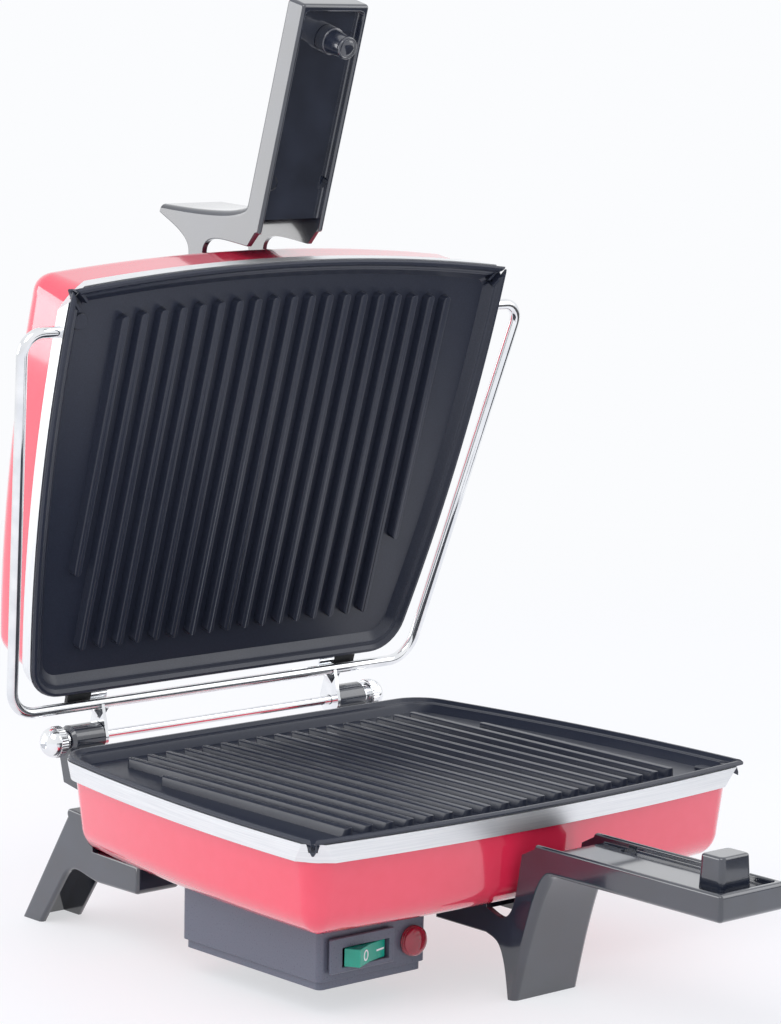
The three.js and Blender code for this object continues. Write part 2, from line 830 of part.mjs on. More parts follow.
function sweptBar(corners, bends, radius) {
  const path = new BentWire(corners, bends);
  const shape = new THREE.Shape().absarc(0, 0, radius, 0, 2 * Math.PI);
  const options = { steps: path.steps, extrudePath: path, curveSegments: wireQuarters };
  return solidOf(new THREE.ExtrudeGeometry(shape, options));
}

const elementZ = -plateFloorDepth - plateWall - seatGap - elementRadius;

function heatingElement() {
  const at = (x, y) => new THREE.Vector3(x, y, elementZ);
  const corners = [
    at(-elementHalfWidth, elementBackY),
    at(-elementHalfWidth, -elementFrontY),
    at(elementHalfWidth, -elementFrontY),
    at(elementHalfWidth, elementBackY),
  ];
  const pins = [-1, 1].map((side) =>
    roundBar(
      terminalRadius,
      alongY,
      [side * elementHalfWidth, elementBackY - terminalRadius, elementZ],
      terminalLength,
      roundSides / 2,
    ),
  );
  return join(sweptBar(corners, [elementBend, elementBend], elementRadius), ...pins);
}

function thermostat() {
  const top = [0, thermostatY, -plateFloorDepth - plateWall - seatGap];
  const cap = roundBar(thermostatRadius, downward, top, thermostatHeight / 2);
  const body = roundBar(thermostatRadius * thermostatBodyShare, downward, top, thermostatHeight);
  return join(cap, body);
}

const toFrontDatum = (solid) => solid.translate(0, -datumShift, 0);
const toBackDatum = (solid) => solid.translate(0, datumShift, 0);

// The moulding that is leg and handle in one
function legHandle() {
  const half = handleWidth / 2;
  const nose = handleRailTop + legWeb;
  const shin = smoothed(
    [
      [-haunchY - legWeb, -handleUnderside],
      [-haunchY, -haunchDrop],
      [-kneeFrontY, -kneeDrop],
      [-shinFrontY, -shinDrop],
      [-toeFrontY, -plateHeight],
    ],
    shinSteps,
  );
  const calf = smoothed(
    [
      [-toeBackY, -plateHeight],
      [-calfBackY, -calfDrop],
      [-hockY, -hockDrop],
      [-armFrontY, -armUnderside],
    ],
    legCurveSteps,
  );
  const arch = smoothed(
    [
      [-armFrontY - seatGap, -archDrop + legWeb],
      [-archY, -archDrop],
      [-archShoulderY, -archShoulderDrop],
      [-rearEdgeTopY, -rearEdgeTopDrop],
    ],
    legCurveSteps,
  );
  const armTop = -shellDepth - seatGap;
  const outer = [
    [-railNoseY, -handleRailTop],
    [-handleReach + legEdgeRound, -handleRailTop],
    [-handleReach, -handleRailTop - legEdgeRound],
    [-handleReach, -handleUnderside + legEdgeRound],
    [-handleReach + legEdgeRound, -handleUnderside],
    ...shin,
    ...calf,
    [-armRearY, -armUnderside],
    [-armRearY, armTop],
    [-armFrontY, armTop],
    ...arch,
    [-railNoseY + legEdgeRound, -nose],
  ];
  const body = sideProfile(outer, [-half, half], legEdgeRound);
  const innerHalf = half - railWidth;
  const channel = block(
    [-innerHalf, innerHalf],
    [-handleReach + handleEndWall, -channelInnerY],
    [-channelFloor, overrun],
  );
  const shinInner = shin.slice(2).map(([y, z]) => [y + legWeb, z + legWeb]);
  const hollow = sideProfile(
    [
      [-channelInnerY, overrun],
      [-channelInnerY, -channelFloor - legWeb],
      ...shinInner,
      [-toeFrontY + legWeb, -calfDrop - legWeb],
      [-calfBackY + legWeb, -calfDrop],
      [-hockY + legWeb, -armUnderside - overrun],
      [-armRearY + overrun, -armUnderside - overrun],
      [-armRearY + overrun, armTop - legWeb],
      [-armFrontY, armTop - legWeb],
      [-armFrontY, overrun],
    ],
    [-innerHalf, innerHalf],
  );
  const ejectorFloor = -channelFloor - ejectorDepth;
  const ejectors = [-1, 1].map((side) =>
    roundBar(ejectorRadius, upward, [side * ejectorX, -ejectorY, ejectorFloor], handleRailTop),
  );
  const bolts = tieBoltPlaces().map(([x, y]) =>
    roundBar(tieBoltRadius + seatGap, upward, [x, y, -shellDepth - 2 * legWeb - overrun], 4 * legWeb),
  );
  return cut(toFrontDatum(cut(body, channel, hollow, ...ejectors, handleBore())), ...bolts);
}

// Through bore and counterbore in the handle for the stop block's or the pin's bolt
function handleBore() {
  const bore = roundBar(
    handleBoltRadius + seatGap,
    downward,
    [0, -handleBoltY, 0],
    handleUnderside + overrun,
  );
  const counterbore = roundBar(
    handleBoltHeadRadius + seatGap,
    downward,
    [0, -handleBoltY, -handleUnderside + handleBoltHeadHeight + seatGap],
    handleBoltHeadHeight + overrun,
  );
  return join(bore, counterbore);
}

const handleBoltTop = -channelFloor + handleBoltRise;

function handleBolt() {
  const headFrom = [0, -handleBoltY, -handleUnderside];
  const head = roundBar(handleBoltHeadRadius, upward, headFrom, handleBoltHeadHeight);
  const shankFrom = -handleUnderside + handleBoltHeadHeight / 2;
  const shank = roundBar(handleBoltRadius, upward, [0, -handleBoltY, shankFrom], handleBoltTop - shankFrom);
  return toFrontDatum(join(head, shank));
}

function boltSocket() {
  return roundBar(
    handleBoltRadius + seatGap,
    upward,
    [0, -handleBoltY, -channelFloor - overrun],
    handleBoltTop + channelFloor + overrun + seatGap,
  );
}

function stopBlock() {
  const bottom = -channelFloor + seatGap;
  const level = (inset, z) => {
    const shape = roundedRectangle(stopWidth - 2 * inset, stopLength - 2 * inset, stopCorner);
    const points = shape.getPoints(filletSteps);
    points.pop();
    return { points: points.map((point) => new THREE.Vector2(point.x, point.y - handleBoltY)), z };
  };
  const body = loft([
    level(0, bottom),
    level(stopDraft, -stopTopDrop - stopDraft),
    level(2 * stopDraft, -stopTopDrop),
  ]);
  return toFrontDatum(cut(body, boltSocket()));
}

function handlePin() {
  const bottom = -channelFloor + seatGap;
  const shoulder = bottom + pinShoulder;
  const tip = pinTipRise;
  const profile = [
    [0, bottom],
    [pinRootRadius, bottom],
    [pinRootRadius, shoulder],
    [pinRootRadius - pinNeck, shoulder],
    [pinRadius - pinNeck / 2, tip - pinBeadLength],
    [pinRadius, tip - pinBeadLength],
    [pinRadius, tip - pinNeck],
    [pinRadius - pinNeck, tip],
    [0, tip],
  ];
  return toFrontDatum(cut(turned(profile, upward, [0, -handleBoltY, 0]), boltSocket()));
}

function rearFoot(side) {
  const range = side < 0 ? [-footInnerX - footWidth, -footInnerX] : [footInnerX, footInnerX + footWidth];
  const armTop = -shellDepth - seatGap;
  const outer = [
    [footArmFrontY, armTop],
    [footArmFrontY, -footArmUnderside],
    [footHaunchY - footNubRun, -footArmUnderside - seatGap],
    [footHaunchY, -footHaunchDrop],
    [footCrotchY, -footCrotchDrop],
    [footToeFrontY, -plateHeight],
    [footToeBackY, -plateHeight],
    [footNubY + seatGap, -footNubDrop],
    [footNubY - footNubInset, -footNubDrop + footWall],
    [footNubY - footNubRun, -footNubDrop],
    [footNubY - footNubRun, armTop + overrun],
    [footArmFrontY + footNubInset, armTop + overrun],
  ];
  const solid = cut(toBackDatum(sideProfile(outer, range)), shellSolid(seatGap));
  const rake = (footToeBackY - footNubY) / (plateHeight - footNubDrop);
  const wall = footWall * Math.hypot(1, rake);
  const webDrop = -shellDepth - seatGap - footWall;
  const hollow = sideProfile(
    [
      [footArmFrontY + footWall, webDrop],
      [footArmFrontY + footWall, -plateHeight - overrun],
      [footToeBackY + overrun * rake - wall, -plateHeight - overrun],
      [footNubY + (shellDepth - footNubDrop) * rake - wall, -shellDepth],
      [footNubY - footNubInset, webDrop],
    ],
    [range[0] + footWall, range[1] - footWall],
  );
  return cut(solid, toBackDatum(hollow), footScrewHole(side));
}

const footScrewX = footInnerX + footWidth / 2;

function footScrewHole(side) {
  const from = [side * footScrewX, footScrewY, -shellDepth - footWall - overrun];
  const through = footWall + shellWall + 2 * overrun;
  return toBackDatum(roundBar(tieBoltRadius + seatGap, upward, from, through, roundSides / 2));
}

function footScrew(side) {
  const top = -shellDepth - footWall - 2 * seatGap;
  const headFrom = [side * footScrewX, footScrewY, top];
  const head = roundBar(tieBoltHeadRadius, downward, headFrom, tieBoltHeadHeight);
  const from = [side * footScrewX, footScrewY, top - seatGap];
  const shank = roundBar(tieBoltRadius, upward, from, footWall + shellWall + tieBoltBite);
  return toBackDatum(join(head, shank));
}

// Switch box, its cover, the rocker switch and the lamp
const boxTop = -shellDepth - seatGap;
const boxCentreY = boxFrontY + boxLength / 2;
const boxHeight = boxUnderside - shellDepth - seatGap;

function switchBox() {
  const from = [boxCentreX, boxCentreY, boxTop - boxHeight];
  const outer = roundedPad(boxWidth, boxLength, boxCorner, from, boxHeight);
  const inner = roundedPad(
    boxWidth - 2 * boxWall,
    boxLength - 2 * boxWall,
    boxCorner - boxWall / 2,
    [boxCentreX, boxCentreY, boxTop - boxHeight - overrun],
    boxHeight + 2 * overrun,
  );
  const innerFront = boxFrontY + boxWall + overrun;
  const through = boxWall + 2 * overrun;
  const switchOpening = roundedPad(
    windowWidth + switchBodyMargin + 2 * seatGap,
    windowHeight + switchBodyMargin + 2 * seatGap,
    bezelCorner,
    [windowCentreX, innerFront, -windowTop - windowHeight / 2],
    through,
    "front",
  );
  const lampFrom = [lampX, boxFrontY - overrun, -lampDrop];
  const lampOpening = roundBar(lampShankRadius + seatGap, alongY, lampFrom, through);
  const glandOpening = roundBar(
    glandNeckRadius + seatGap,
    alongY,
    [glandX, boxFrontY + boxLength - boxWall - overrun, glandZ],
    through,
  );
  return cut(outer, inner, switchOpening, lampOpening, glandOpening);
}

const coverTop = -boxUnderside - seatGap;
const glandZ = -(shellDepth + boxUnderside) / 2;

function coverScrewPlaces() {
  const dx = boxWidth / 2 - coverScrewInset;
  const dy = boxLength / 2 - coverScrewInset;
  return [[-dx, -dy], [dx, -dy], [-dx, dy], [dx, dy]].map(([x, y]) => [boxCentreX + x, boxCentreY + y]);
}

function switchBoxCover() {
  const cover = roundedPad(
    boxWidth - 2 * coverInset,
    boxLength - 2 * coverInset,
    boxCorner,
    [boxCentreX, boxCentreY, coverTop - coverThickness],
    coverThickness,
  );
  const spigot = roundedPad(
    boxWidth - 2 * boxWall - 2 * seatGap,
    boxLength - 2 * boxWall - 2 * seatGap,
    boxCorner - boxWall / 2,
    [boxCentreX, boxCentreY, coverTop - seatGap],
    boxWall,
  );
  const recesses = coverScrewPlaces().map(([x, y]) =>
    roundBar(
      coverScrewRadius + seatGap,
      downward,
      [x, y, coverTop - coverThickness + coverScrewDepth + seatGap],
      coverScrewDepth + overrun,
      roundSides / 2,
    ),
  );
  return cut(join(cover, spigot), ...recesses);
}

function coverScrew([x, y]) {
  const from = [x, y, coverTop - coverThickness];
  return roundBar(coverScrewRadius, upward, from, coverScrewDepth, roundSides / 2);
}

function switchBezel() {
  const windowZ = -windowTop - windowHeight / 2;
  const frame = roundedPad(
    bezelWidth,
    bezelHeight,
    bezelCorner,
    [bezelCentreX, boxFrontY - seatGap, -bezelTop - bezelHeight / 2],
    bezelProud,
    "front",
  );
  const body = roundedPad(
    windowWidth + switchBodyMargin,
    windowHeight + switchBodyMargin,
    bezelCorner,
    [windowCentreX, boxFrontY + switchBodyLength, windowZ],
    switchBodyLength + bezelProud / 2,
    "front",
  );
  const window = block(
    [windowCentreX - windowWidth / 2, windowCentreX + windowWidth / 2],
    [boxFrontY - bezelProud - overrun, boxFrontY + switchBodyLength - boxWall],
    [windowZ - windowHeight / 2, windowZ + windowHeight / 2],
  );
  const axle = roundBar(
    rockerAxleRadius + seatGap,
    upward,
    [windowCentreX, boxFrontY + rockerPivotDepth, windowZ - windowHeight / 2 - rockerAxleRadius],
    windowHeight + 2 * rockerAxleRadius,
    roundSides / 2,
  );
  return cut(join(frame, body), window, axle);
}

// The rocker's two facets meet in a shallow valley; its pins turn in the switch body
function rocker() {
  const foot = rockerSkirt - rockerRise;
  const shape = new THREE.Shape([
    new THREE.Vector2(0, -rockerValley),
    new THREE.Vector2(rockerHalf, -rockerRise),
    new THREE.Vector2(rockerHalf + rockerFlare, foot),
    new THREE.Vector2(-rockerHalf - rockerFlare, foot),
    new THREE.Vector2(-rockerHalf, -rockerRise),
  ]);
  const height = windowHeight - 2 * seatGap;
  const geometry = new THREE.ExtrudeGeometry(shape, { depth: height, bevelEnabled: false });
  const pinLength = height + 2 * rockerAxleRadius - seatGap;
  const pins = roundBar(
    rockerAxleRadius,
    upward,
    [0, 0, (height - pinLength) / 2],
    pinLength,
    roundSides / 2,
  );
  const turn = new THREE.Matrix4().makeRotationZ(rockerRest);
  const turnedBody = geometryOf(join(solidOf(geometry), pins)).applyMatrix4(turn);
  const bottom = -windowTop - windowHeight + seatGap;
  return solidOf(turnedBody.translate(windowCentreX, boxFrontY + rockerPivotDepth, bottom));
}

function indicatorLamp() {
  const face = boxFrontY - seatGap;
  const step = (lampRadius - lampFaceRadius) / 2;
  const profile = [
    [0, lampShankLength],
    [lampShankRadius, lampShankLength],
    [lampShankRadius, 0],
    [lampRadius, 0],
    [lampRadius, -lampProud * lampRimShare],
    [lampRadius - step, -lampProud * lampBevelShare],
    [lampFaceRadius, -lampProud],
    [0, -lampProud],
  ];
  return turned(profile, alongY, [lampX, face, -lampDrop]);
}

function cordGland() {
  const face = boxFrontY + boxLength + seatGap;
  const inside = -boxWall - 2 * seatGap;
  const profile = [
    [glandBore, inside - glandFlange],
    [glandRadius, inside - glandFlange],
    [glandRadius, inside],
    [glandNeckRadius, inside],
    [glandNeckRadius, 0],
    [glandRadius, 0],
    [glandNeckRadius, glandFlange + overrun],
    [glandBore, glandFlange + overrun],
    [glandBore, inside - glandFlange],
  ];
  return turned(profile, alongY, [glandX, face, glandZ]);
}

function terminalBlock() {
  const bottom = coverTop + boxWall;
  const body = block(
    [boxCentreX - terminalBlockWidth / 2, boxCentreX + terminalBlockWidth / 2],
    [terminalBlockY - terminalBlockLength / 2, terminalBlockY + terminalBlockLength / 2],
    [bottom, bottom + terminalBlockHeight],
  );
  const bores = [-1, 0, 1].map((place) => {
    const x = boxCentreX + (place * terminalBlockWidth) / 3;
    const from = [x, terminalBlockY - terminalBlockLength, bottom + terminalBlockHeight / 2];
    return roundBar(terminalRadius, alongY, from, 2 * terminalBlockLength, roundSides / 2);
  });
  return cut(body, ...bores);
}

// Friction hinge on the back of the base
function hingeLug(side) {
  const [inner, outer] = [lugInnerX, lugInnerX + lugWidth];
  const range = side < 0 ? [-outer, -inner] : [inner, outer];
  const padY = plateDepth / 2 - shellTopInset + seatGap;
  const bandClearY = plateDepth / 2 + 2 * seatGap;
  const onBarrel = (angle) => [
    hingeY + lugRadius * Math.cos(angle),
    hingeRise + lugRadius * Math.sin(angle),
  ];
  const arm = sideProfile(
    [
      [hingeY, hingeRise + lugRadius / 2],
      onBarrel(lugArmBackAngle),
      [hingeY + lugRadius / 4, -lugPadBottom + lugPadDepth],
      [padY, -lugPadBottom],
      [padY, -bandHeight - 2 * seatGap],
      [bandClearY, -bandHeight - 2 * seatGap],
      [bandClearY, -lugPadDepth],
      onBarrel(lugArmFrontAngle),
    ],
    range,
  );
  const bevel = lugRadius / 5;
  const barrel = turned(
    [
      [0, 0],
      [lugRadius, 0],
      [lugRadius, lugWidth - bevel],
      [lugRadius - bevel, lugWidth],
      [0, lugWidth],
    ],
    [side, 0, 0],
    [side * inner, hingeY, hingeRise],
  );
  const bore = roundBar(rodBore, alongX, [range[0] - overrun, hingeY, hingeRise], lugWidth + 2 * overrun);
  return cut(join(barrel, arm), bore, shellSolid(seatGap));
}

function hingeRod() {
  const half = lugInnerX + rodInLug;
  return roundBar(rodRadius, alongX, [-half, hingeY, hingeRise], 2 * half);
}

function hingeKnob(side) {
  const from = lugInnerX + lugWidth + seatGap;
  const shank = lugWidth - rodInLug;
  const knurlFrom = knobCollarWidth;
  const knurlTo = knurlFrom + knobKnurlWidth;
  const total = knurlTo + knobDome;
  const dome = [];
  for (let i = 0; i < domeSteps; i += 1) {
    const angle = (Math.PI / 2) * (i / domeSteps);
    dome.push([knobRadius * Math.cos(angle), knurlTo + knobDome * Math.sin(angle)]);
  }
  const body = turned(
    [
      [0, -shank],
      [knobNeck, -shank],
      [knobNeck, 0],
      [knobCollarRadius, 0],
      [knobCollarRadius, knurlFrom],
      [knobRadius, knurlFrom],
      ...dome,
      [0, total],
    ],
    [side, 0, 0],
    [side * from, hingeY, hingeRise],
    knobSides,
  );
  const socketAt = [side * (from + total - knobSocketDepth), hingeY, hingeRise];
  return cut(body, roundBar(knobSocketRadius, [side, 0, 0], socketAt, knobSocketDepth + overrun, 6));
}

// The bail, in the lid's half frame
const crossRodY = plateDepth / 2 + bailRodGap;

function bailWire() {
  const pivotY = plateDepth / 2 - bailPivotFromBack;
  const endX = sideAt(pivotY).x - bailEndInset;
  const at = (x, y, z) => new THREE.Vector3(x, y, z);
  const corners = [
    at(-endX, pivotY, -bailPivotDrop),
    at(-bailArmFrontX, pivotY, -bailPivotDrop),
    at(-bailArmBackX, crossRodY, bailRodRise),
    at(bailArmBackX, crossRodY, bailRodRise),
    at(bailArmFrontX, pivotY, -bailPivotDrop),
    at(endX, pivotY, -bailPivotDrop),
  ];
  const bends = [bailShoulderBend, bailCornerBend, bailCornerBend, bailShoulderBend];
  return sweptBar(corners, bends, bailRadius);
}

function bailBracket(side) {
  const inner = lugInnerX - seatGap - bracketThickness;
  const eye = [];
  for (let i = 0; i < roundSides; i += 1) {
    const angle = (2 * Math.PI * i) / roundSides;
    const [across, up] = [Math.cos(angle), Math.sin(angle)];
    eye.push([hingeY + bracketEyeRadius * across, hingeDepth + bracketEyeRadius * up]);
  }
  const reach = Math.hypot(crossRodY - hingeY, bailRodRise - hingeDepth);
  const toRod = [(crossRodY - hingeY) / reach, (bailRodRise - hingeDepth) / reach];
  const across = [-toRod[1], toRod[0]];
  const tip = (offset) => [crossRodY + across[0] * offset, bailRodRise + across[1] * offset];
  const ends = [...eye, tip(-bracketTopHalf), tip(bracketTopHalf)];
  const points = ends.map(([y, z]) => new THREE.Vector2(y, z));
  const hull = convexOutline(points).map((point) => [point.x, point.y]);
  const range = side < 0 ? [-inner - bracketThickness, -inner] : [inner, inner + bracketThickness];
  const plate = sideProfile(hull, range);
  const middle = (range[0] + range[1]) / 2;
  const weldEnd = (end, edge, halfWidth, back) =>
    new THREE.Vector3(
      middle + end * halfWidth,
      crossRodY - toRod[0] * back + edge * across[0] * bracketThickness,
      bailRodRise - toRod[1] * back + edge * across[1] * bracketThickness,
    );
  const weldPoints = [[-1, -1], [-1, 1], [1, -1], [1, 1]].flatMap(([end, edge]) => [
    weldEnd(end, edge, bracketWeldHalf, bailRadius - seatGap),
    weldEnd(end, edge, bracketThickness / 2, bracketEyeRadius),
  ]);
  const gusset = new ConvexGeometry(weldPoints);
  const saddle = roundBar(
    bailRadius + seatGap,
    alongX,
    [middle - bracketWeldHalf - overrun, crossRodY, bailRodRise],
    2 * (bracketWeldHalf + overrun),
  );
  const boreFrom = [range[0] - overrun, hingeY, hingeDepth];
  const bore = roundBar(rodBore, alongX, boreFrom, bracketThickness + 2 * overrun);
  return cut(join(plate, solidOf(gusset)), saddle, bore);
}

// Convex outline of plan points, anticlockwise
function convexOutline(points) {
  const sorted = [...points].sort((a, b) => a.x - b.x || a.y - b.y);
  const turn = (o, a, b) => (a.x - o.x) * (b.y - o.y) - (a.y - o.y) * (b.x - o.x);
  const chain = (list) => {
    const kept = [];
    for (const point of list) {
      while (kept.length > 1 && turn(kept[kept.length - 2], kept[kept.length - 1], point) <= 0) kept.pop();
      kept.push(point);
    }
    return kept.slice(0, -1);
  };
  return [...chain(sorted), ...chain(sorted.reverse())];
}

// Rests on the back of the lid that land on the bail's cross rod
function lidRest(range, reach, thickness, legWall) {
  const bandClearY = plateDepth / 2 + 2 * seatGap;
  const shellY = plateDepth / 2 - shellTopInset + seatGap;
  const top = bailRodRise - bailRadius - seatGap;
  const profile = [
    [bandClearY, top],
    [bandClearY, -bandHeight - 2 * seatGap],
    [shellY, -bandHeight - 2 * seatGap],
    [shellY - shellFootInset / 2, -bumperLegDepth],
    [bandClearY + legWall, -bumperLegDepth],
    [bandClearY + legWall, top - thickness],
    [plateDepth / 2 + reach, top - thickness],
    [plateDepth / 2 + reach, top],
  ];
  return cut(sideProfile(profile, range), shellSolid(seatGap));
}

const mirrored = (side, [from, to]) => (side < 0 ? [-to, -from] : [from, to]);

function lidBumper(side) {
  const range = mirrored(side, [bumperInnerX, bumperInnerX + bumperWidth]);
  return lidRest(range, bumperReach, bumperThickness, bumperLegWall);
}

function bumperClip(side) {
  const range = mirrored(side, [bumperInnerX - seatGap - clipWidth, bumperInnerX - seatGap]);
  return lidRest(range, clipReach, clipWall, clipWall);
}

// Assembly
const grill = new THREE.Group();
const base = new THREE.Group();
base.position.set(0, planCentreY, plateHeight);
grill.add(base);

const hinge = new THREE.Group();
hinge.position.set(0, hingeY, hingeRise);
hinge.rotation.x = -openAngle;
base.add(hinge);

const lid = new THREE.Group();
lid.position.set(0, -hingeY, hingeDepth);
lid.rotation.y = Math.PI;
hinge.add(lid);

function place(group, name, solid, material) {
  const mesh = new THREE.Mesh(geometryOf(solid), material);
  mesh.name = name;
  group.add(mesh);
}

const footHoles = [footScrewHole(-1), footScrewHole(1)];
for (const [group, body, level] of [[base, "base", "lower"], [lid, "lid", "upper"]]) {
  place(group, `${body}_shell`, shell(body === "base" ? footHoles : []), materials.enamel);
  place(group, `${body}_trim_band`, band(), materials.brushed);
  place(group, `${level}_grill_plate`, grillPlate(), materials.coating);
  place(group, `${level}_heating_element`, heatingElement(), materials.steel);
  place(group, `${level}_reflector`, reflector(), materials.steel);
  place(group, `${level}_reflector_screw`, trayScrew(), materials.steel);
  place(group, `${level}_thermostat`, thermostat(), materials.ceramic);
  place(group, `${level}_handle_bolt`, handleBolt(), materials.steel);
  tieBoltPlaces().forEach((spot) => {
    const name = spot[0] * (group === base ? 1 : -1) < 0 ? "left" : "right";
    place(group, `${level}_tie_bolt_${name}`, tieBolt(spot), materials.steel);
    place(group, `${level}_tie_spacer_${name}`, tieSpacer(spot), materials.steel);
  });
}
place(base, "front_leg_handle", legHandle(), materials.bakelite);
place(base, "handle_stop_block", stopBlock(), materials.bakelite);
place(lid, "lid_leg_handle", legHandle(), materials.bakelite);
place(lid, "lid_handle_pin", handlePin(), materials.bakelite);
place(base, "switch_box", switchBox(), materials.box);
place(base, "switch_box_cover", switchBoxCover(), materials.box);
coverScrewPlaces().forEach((spot, i) => {
  place(base, `cover_screw_${i + 1}`, coverScrew(spot), materials.steel);
});
place(base, "switch_bezel", switchBezel(), materials.box);
place(base, "rocker_switch", rocker(), materials.rocker);
place(base, "indicator_lamp", indicatorLamp(), materials.lens);
place(base, "cord_gland", cordGland(), materials.rubber);
place(base, "terminal_block", terminalBlock(), materials.ceramic);
place(base, "hinge_rod", hingeRod(), materials.chrome);
place(lid, "bail_wire", bailWire(), materials.chrome);
for (const [name, side] of [["left", -1], ["right", 1]]) {
  place(base, `rear_foot_${name}`, rearFoot(side), materials.bakelite);
  place(base, `rear_foot_screw_${name}`, footScrew(side), materials.steel);
  place(base, `hinge_lug_${name}`, hingeLug(side), materials.bakelite);
  place(base, `hinge_knob_${name}`, hingeKnob(side), materials.chrome);
  place(lid, `bail_bracket_${name}`, bailBracket(-side), materials.chrome);
  place(lid, `lid_bumper_${name}`, lidBumper(-side), materials.rubber);
  place(lid, `bumper_clip_${name}`, bumperClip(-side), materials.chrome);
}

export default grill;
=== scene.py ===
# %% [markdown]
# # A contact grill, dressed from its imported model
# The grill was first designed as solid parts: shells, plates, mouldings, a hinge and a wire
# bail. Those parts fix every size. Here each visible part gets its fine shape and its real
# finish, and a camera looks at it from the photograph's side.
# All lengths below are given in millimetres and turned to metres with one value.

# %% Load the frame
import json
import math

import bmesh
import bpy
from mathutils import Matrix, Vector

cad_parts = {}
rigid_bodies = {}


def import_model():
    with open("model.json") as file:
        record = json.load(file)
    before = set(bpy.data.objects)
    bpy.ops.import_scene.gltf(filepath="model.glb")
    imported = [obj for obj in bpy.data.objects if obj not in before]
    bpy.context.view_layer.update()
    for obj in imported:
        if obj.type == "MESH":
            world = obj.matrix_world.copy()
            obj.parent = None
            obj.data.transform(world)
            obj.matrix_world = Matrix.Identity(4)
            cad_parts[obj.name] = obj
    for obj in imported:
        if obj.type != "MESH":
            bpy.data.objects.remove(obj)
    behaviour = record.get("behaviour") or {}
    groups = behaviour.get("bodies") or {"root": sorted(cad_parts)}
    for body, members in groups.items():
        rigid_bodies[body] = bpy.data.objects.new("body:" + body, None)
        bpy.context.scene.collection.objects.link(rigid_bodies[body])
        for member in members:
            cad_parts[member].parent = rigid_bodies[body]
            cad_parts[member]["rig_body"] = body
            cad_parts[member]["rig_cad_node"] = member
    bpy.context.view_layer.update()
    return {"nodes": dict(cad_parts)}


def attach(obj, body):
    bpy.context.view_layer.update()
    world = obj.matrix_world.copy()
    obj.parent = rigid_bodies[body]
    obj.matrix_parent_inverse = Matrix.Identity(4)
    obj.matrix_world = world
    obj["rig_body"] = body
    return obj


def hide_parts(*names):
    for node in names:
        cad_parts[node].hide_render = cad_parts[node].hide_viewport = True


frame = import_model()
mm = 0.001

# %% [markdown]
# The base and the lid are built from the same pressings and castings. So each shared part is
# modelled once, in a half frame whose origin is the middle of the plate at the level of the
# rib crests, with +Z on the cooking side. Two matrices then place it in the base and the lid.

# %% Places of the two halves
plate_height, plan_centre = 96.5 * mm, 34.595 * mm
hinge_y, hinge_rise, hinge_depth = 144.4 * mm, 1.0 * mm, 6.4 * mm
open_angle = math.radians(74.03)

base_place = Matrix.Translation((0, plan_centre, plate_height))
lid_place = (
    base_place
    @ Matrix.Translation((0, hinge_y, hinge_rise))
    @ Matrix.Rotation(-open_angle, 4, "X")
    @ Matrix.Translation((0, -hinge_y, hinge_depth))
    @ Matrix.Rotation(math.pi, 4, "Y")
)
halves = {"base": base_place, "lid": lid_place}
print("lid plate centre", [round(c, 4) for c in lid_place.translation])


# %% [markdown]
# Colours are written as the sRGB hex values that a colour picker shows. Blender's shaders work
# in linear light, so one function turns them over. A second function adds a shader node, sets
# it and links it, so that each material reads as a short list of what it is made of.

# %% Colour and node helpers
def colour(hex_value):
    """Linear red, green, blue and alpha of an sRGB hex value."""
    parts = [int(hex_value[i : i + 2], 16) / 255 for i in (1, 3, 5)]
    linear = [c / 12.92 if c <= 0.04045 else ((c + 0.055) / 1.055) ** 2.4 for c in parts]
    return (*linear, 1.0)


def add_node(tree, kind, sockets=None, links=None, **settings):
    """A shader node with its settings, its socket values and its incoming links."""
    node = tree.nodes.new("ShaderNode" + kind)
    for name, value in settings.items():
        setattr(node, name, value)
    for name, value in (sockets or {}).items():
        node.inputs[name].default_value = value
    for name, source in (links or {}).items():
        tree.links.new(source, node.inputs[name])
    return node


def new_material(name):
    """An empty material and its node tree, with a principled shader on its output."""
    material = bpy.data.materials.new(name)
    material.use_nodes = True
    tree = material.node_tree
    tree.nodes.clear()
    shader = add_node(tree, "BsdfPrincipled")
    add_node(tree, "OutputMaterial", links={"Surface": shader.outputs["BSDF"]})
    return material, tree, shader


def ramp(tree, factor, low, high, start=0.3, end=0.7):
    """A colour ramp between two hex colours."""
    node = add_node(tree, "ValToRGB", links={"Fac": factor})
    node.color_ramp.elements[0].position = start
    node.color_ramp.elements[0].color = colour(low)
    node.color_ramp.elements[1].position = end
    node.color_ramp.elements[1].color = colour(high)
    return node.outputs["Color"]


def per_mm(spacing):
    """Noise scale for features a given number of millimetres apart."""
    return 1 / (spacing * mm)


print("pure red in linear light", [round(c, 3) for c in colour("#ff0000")])

# %% [markdown]
# ## Finishes
# Most surfaces here follow one pattern: noise in the object's own space moves the tone, the
# roughness and the relief a little, each with its own spacing. One function builds that, and
# each material then says what its real surface is like.

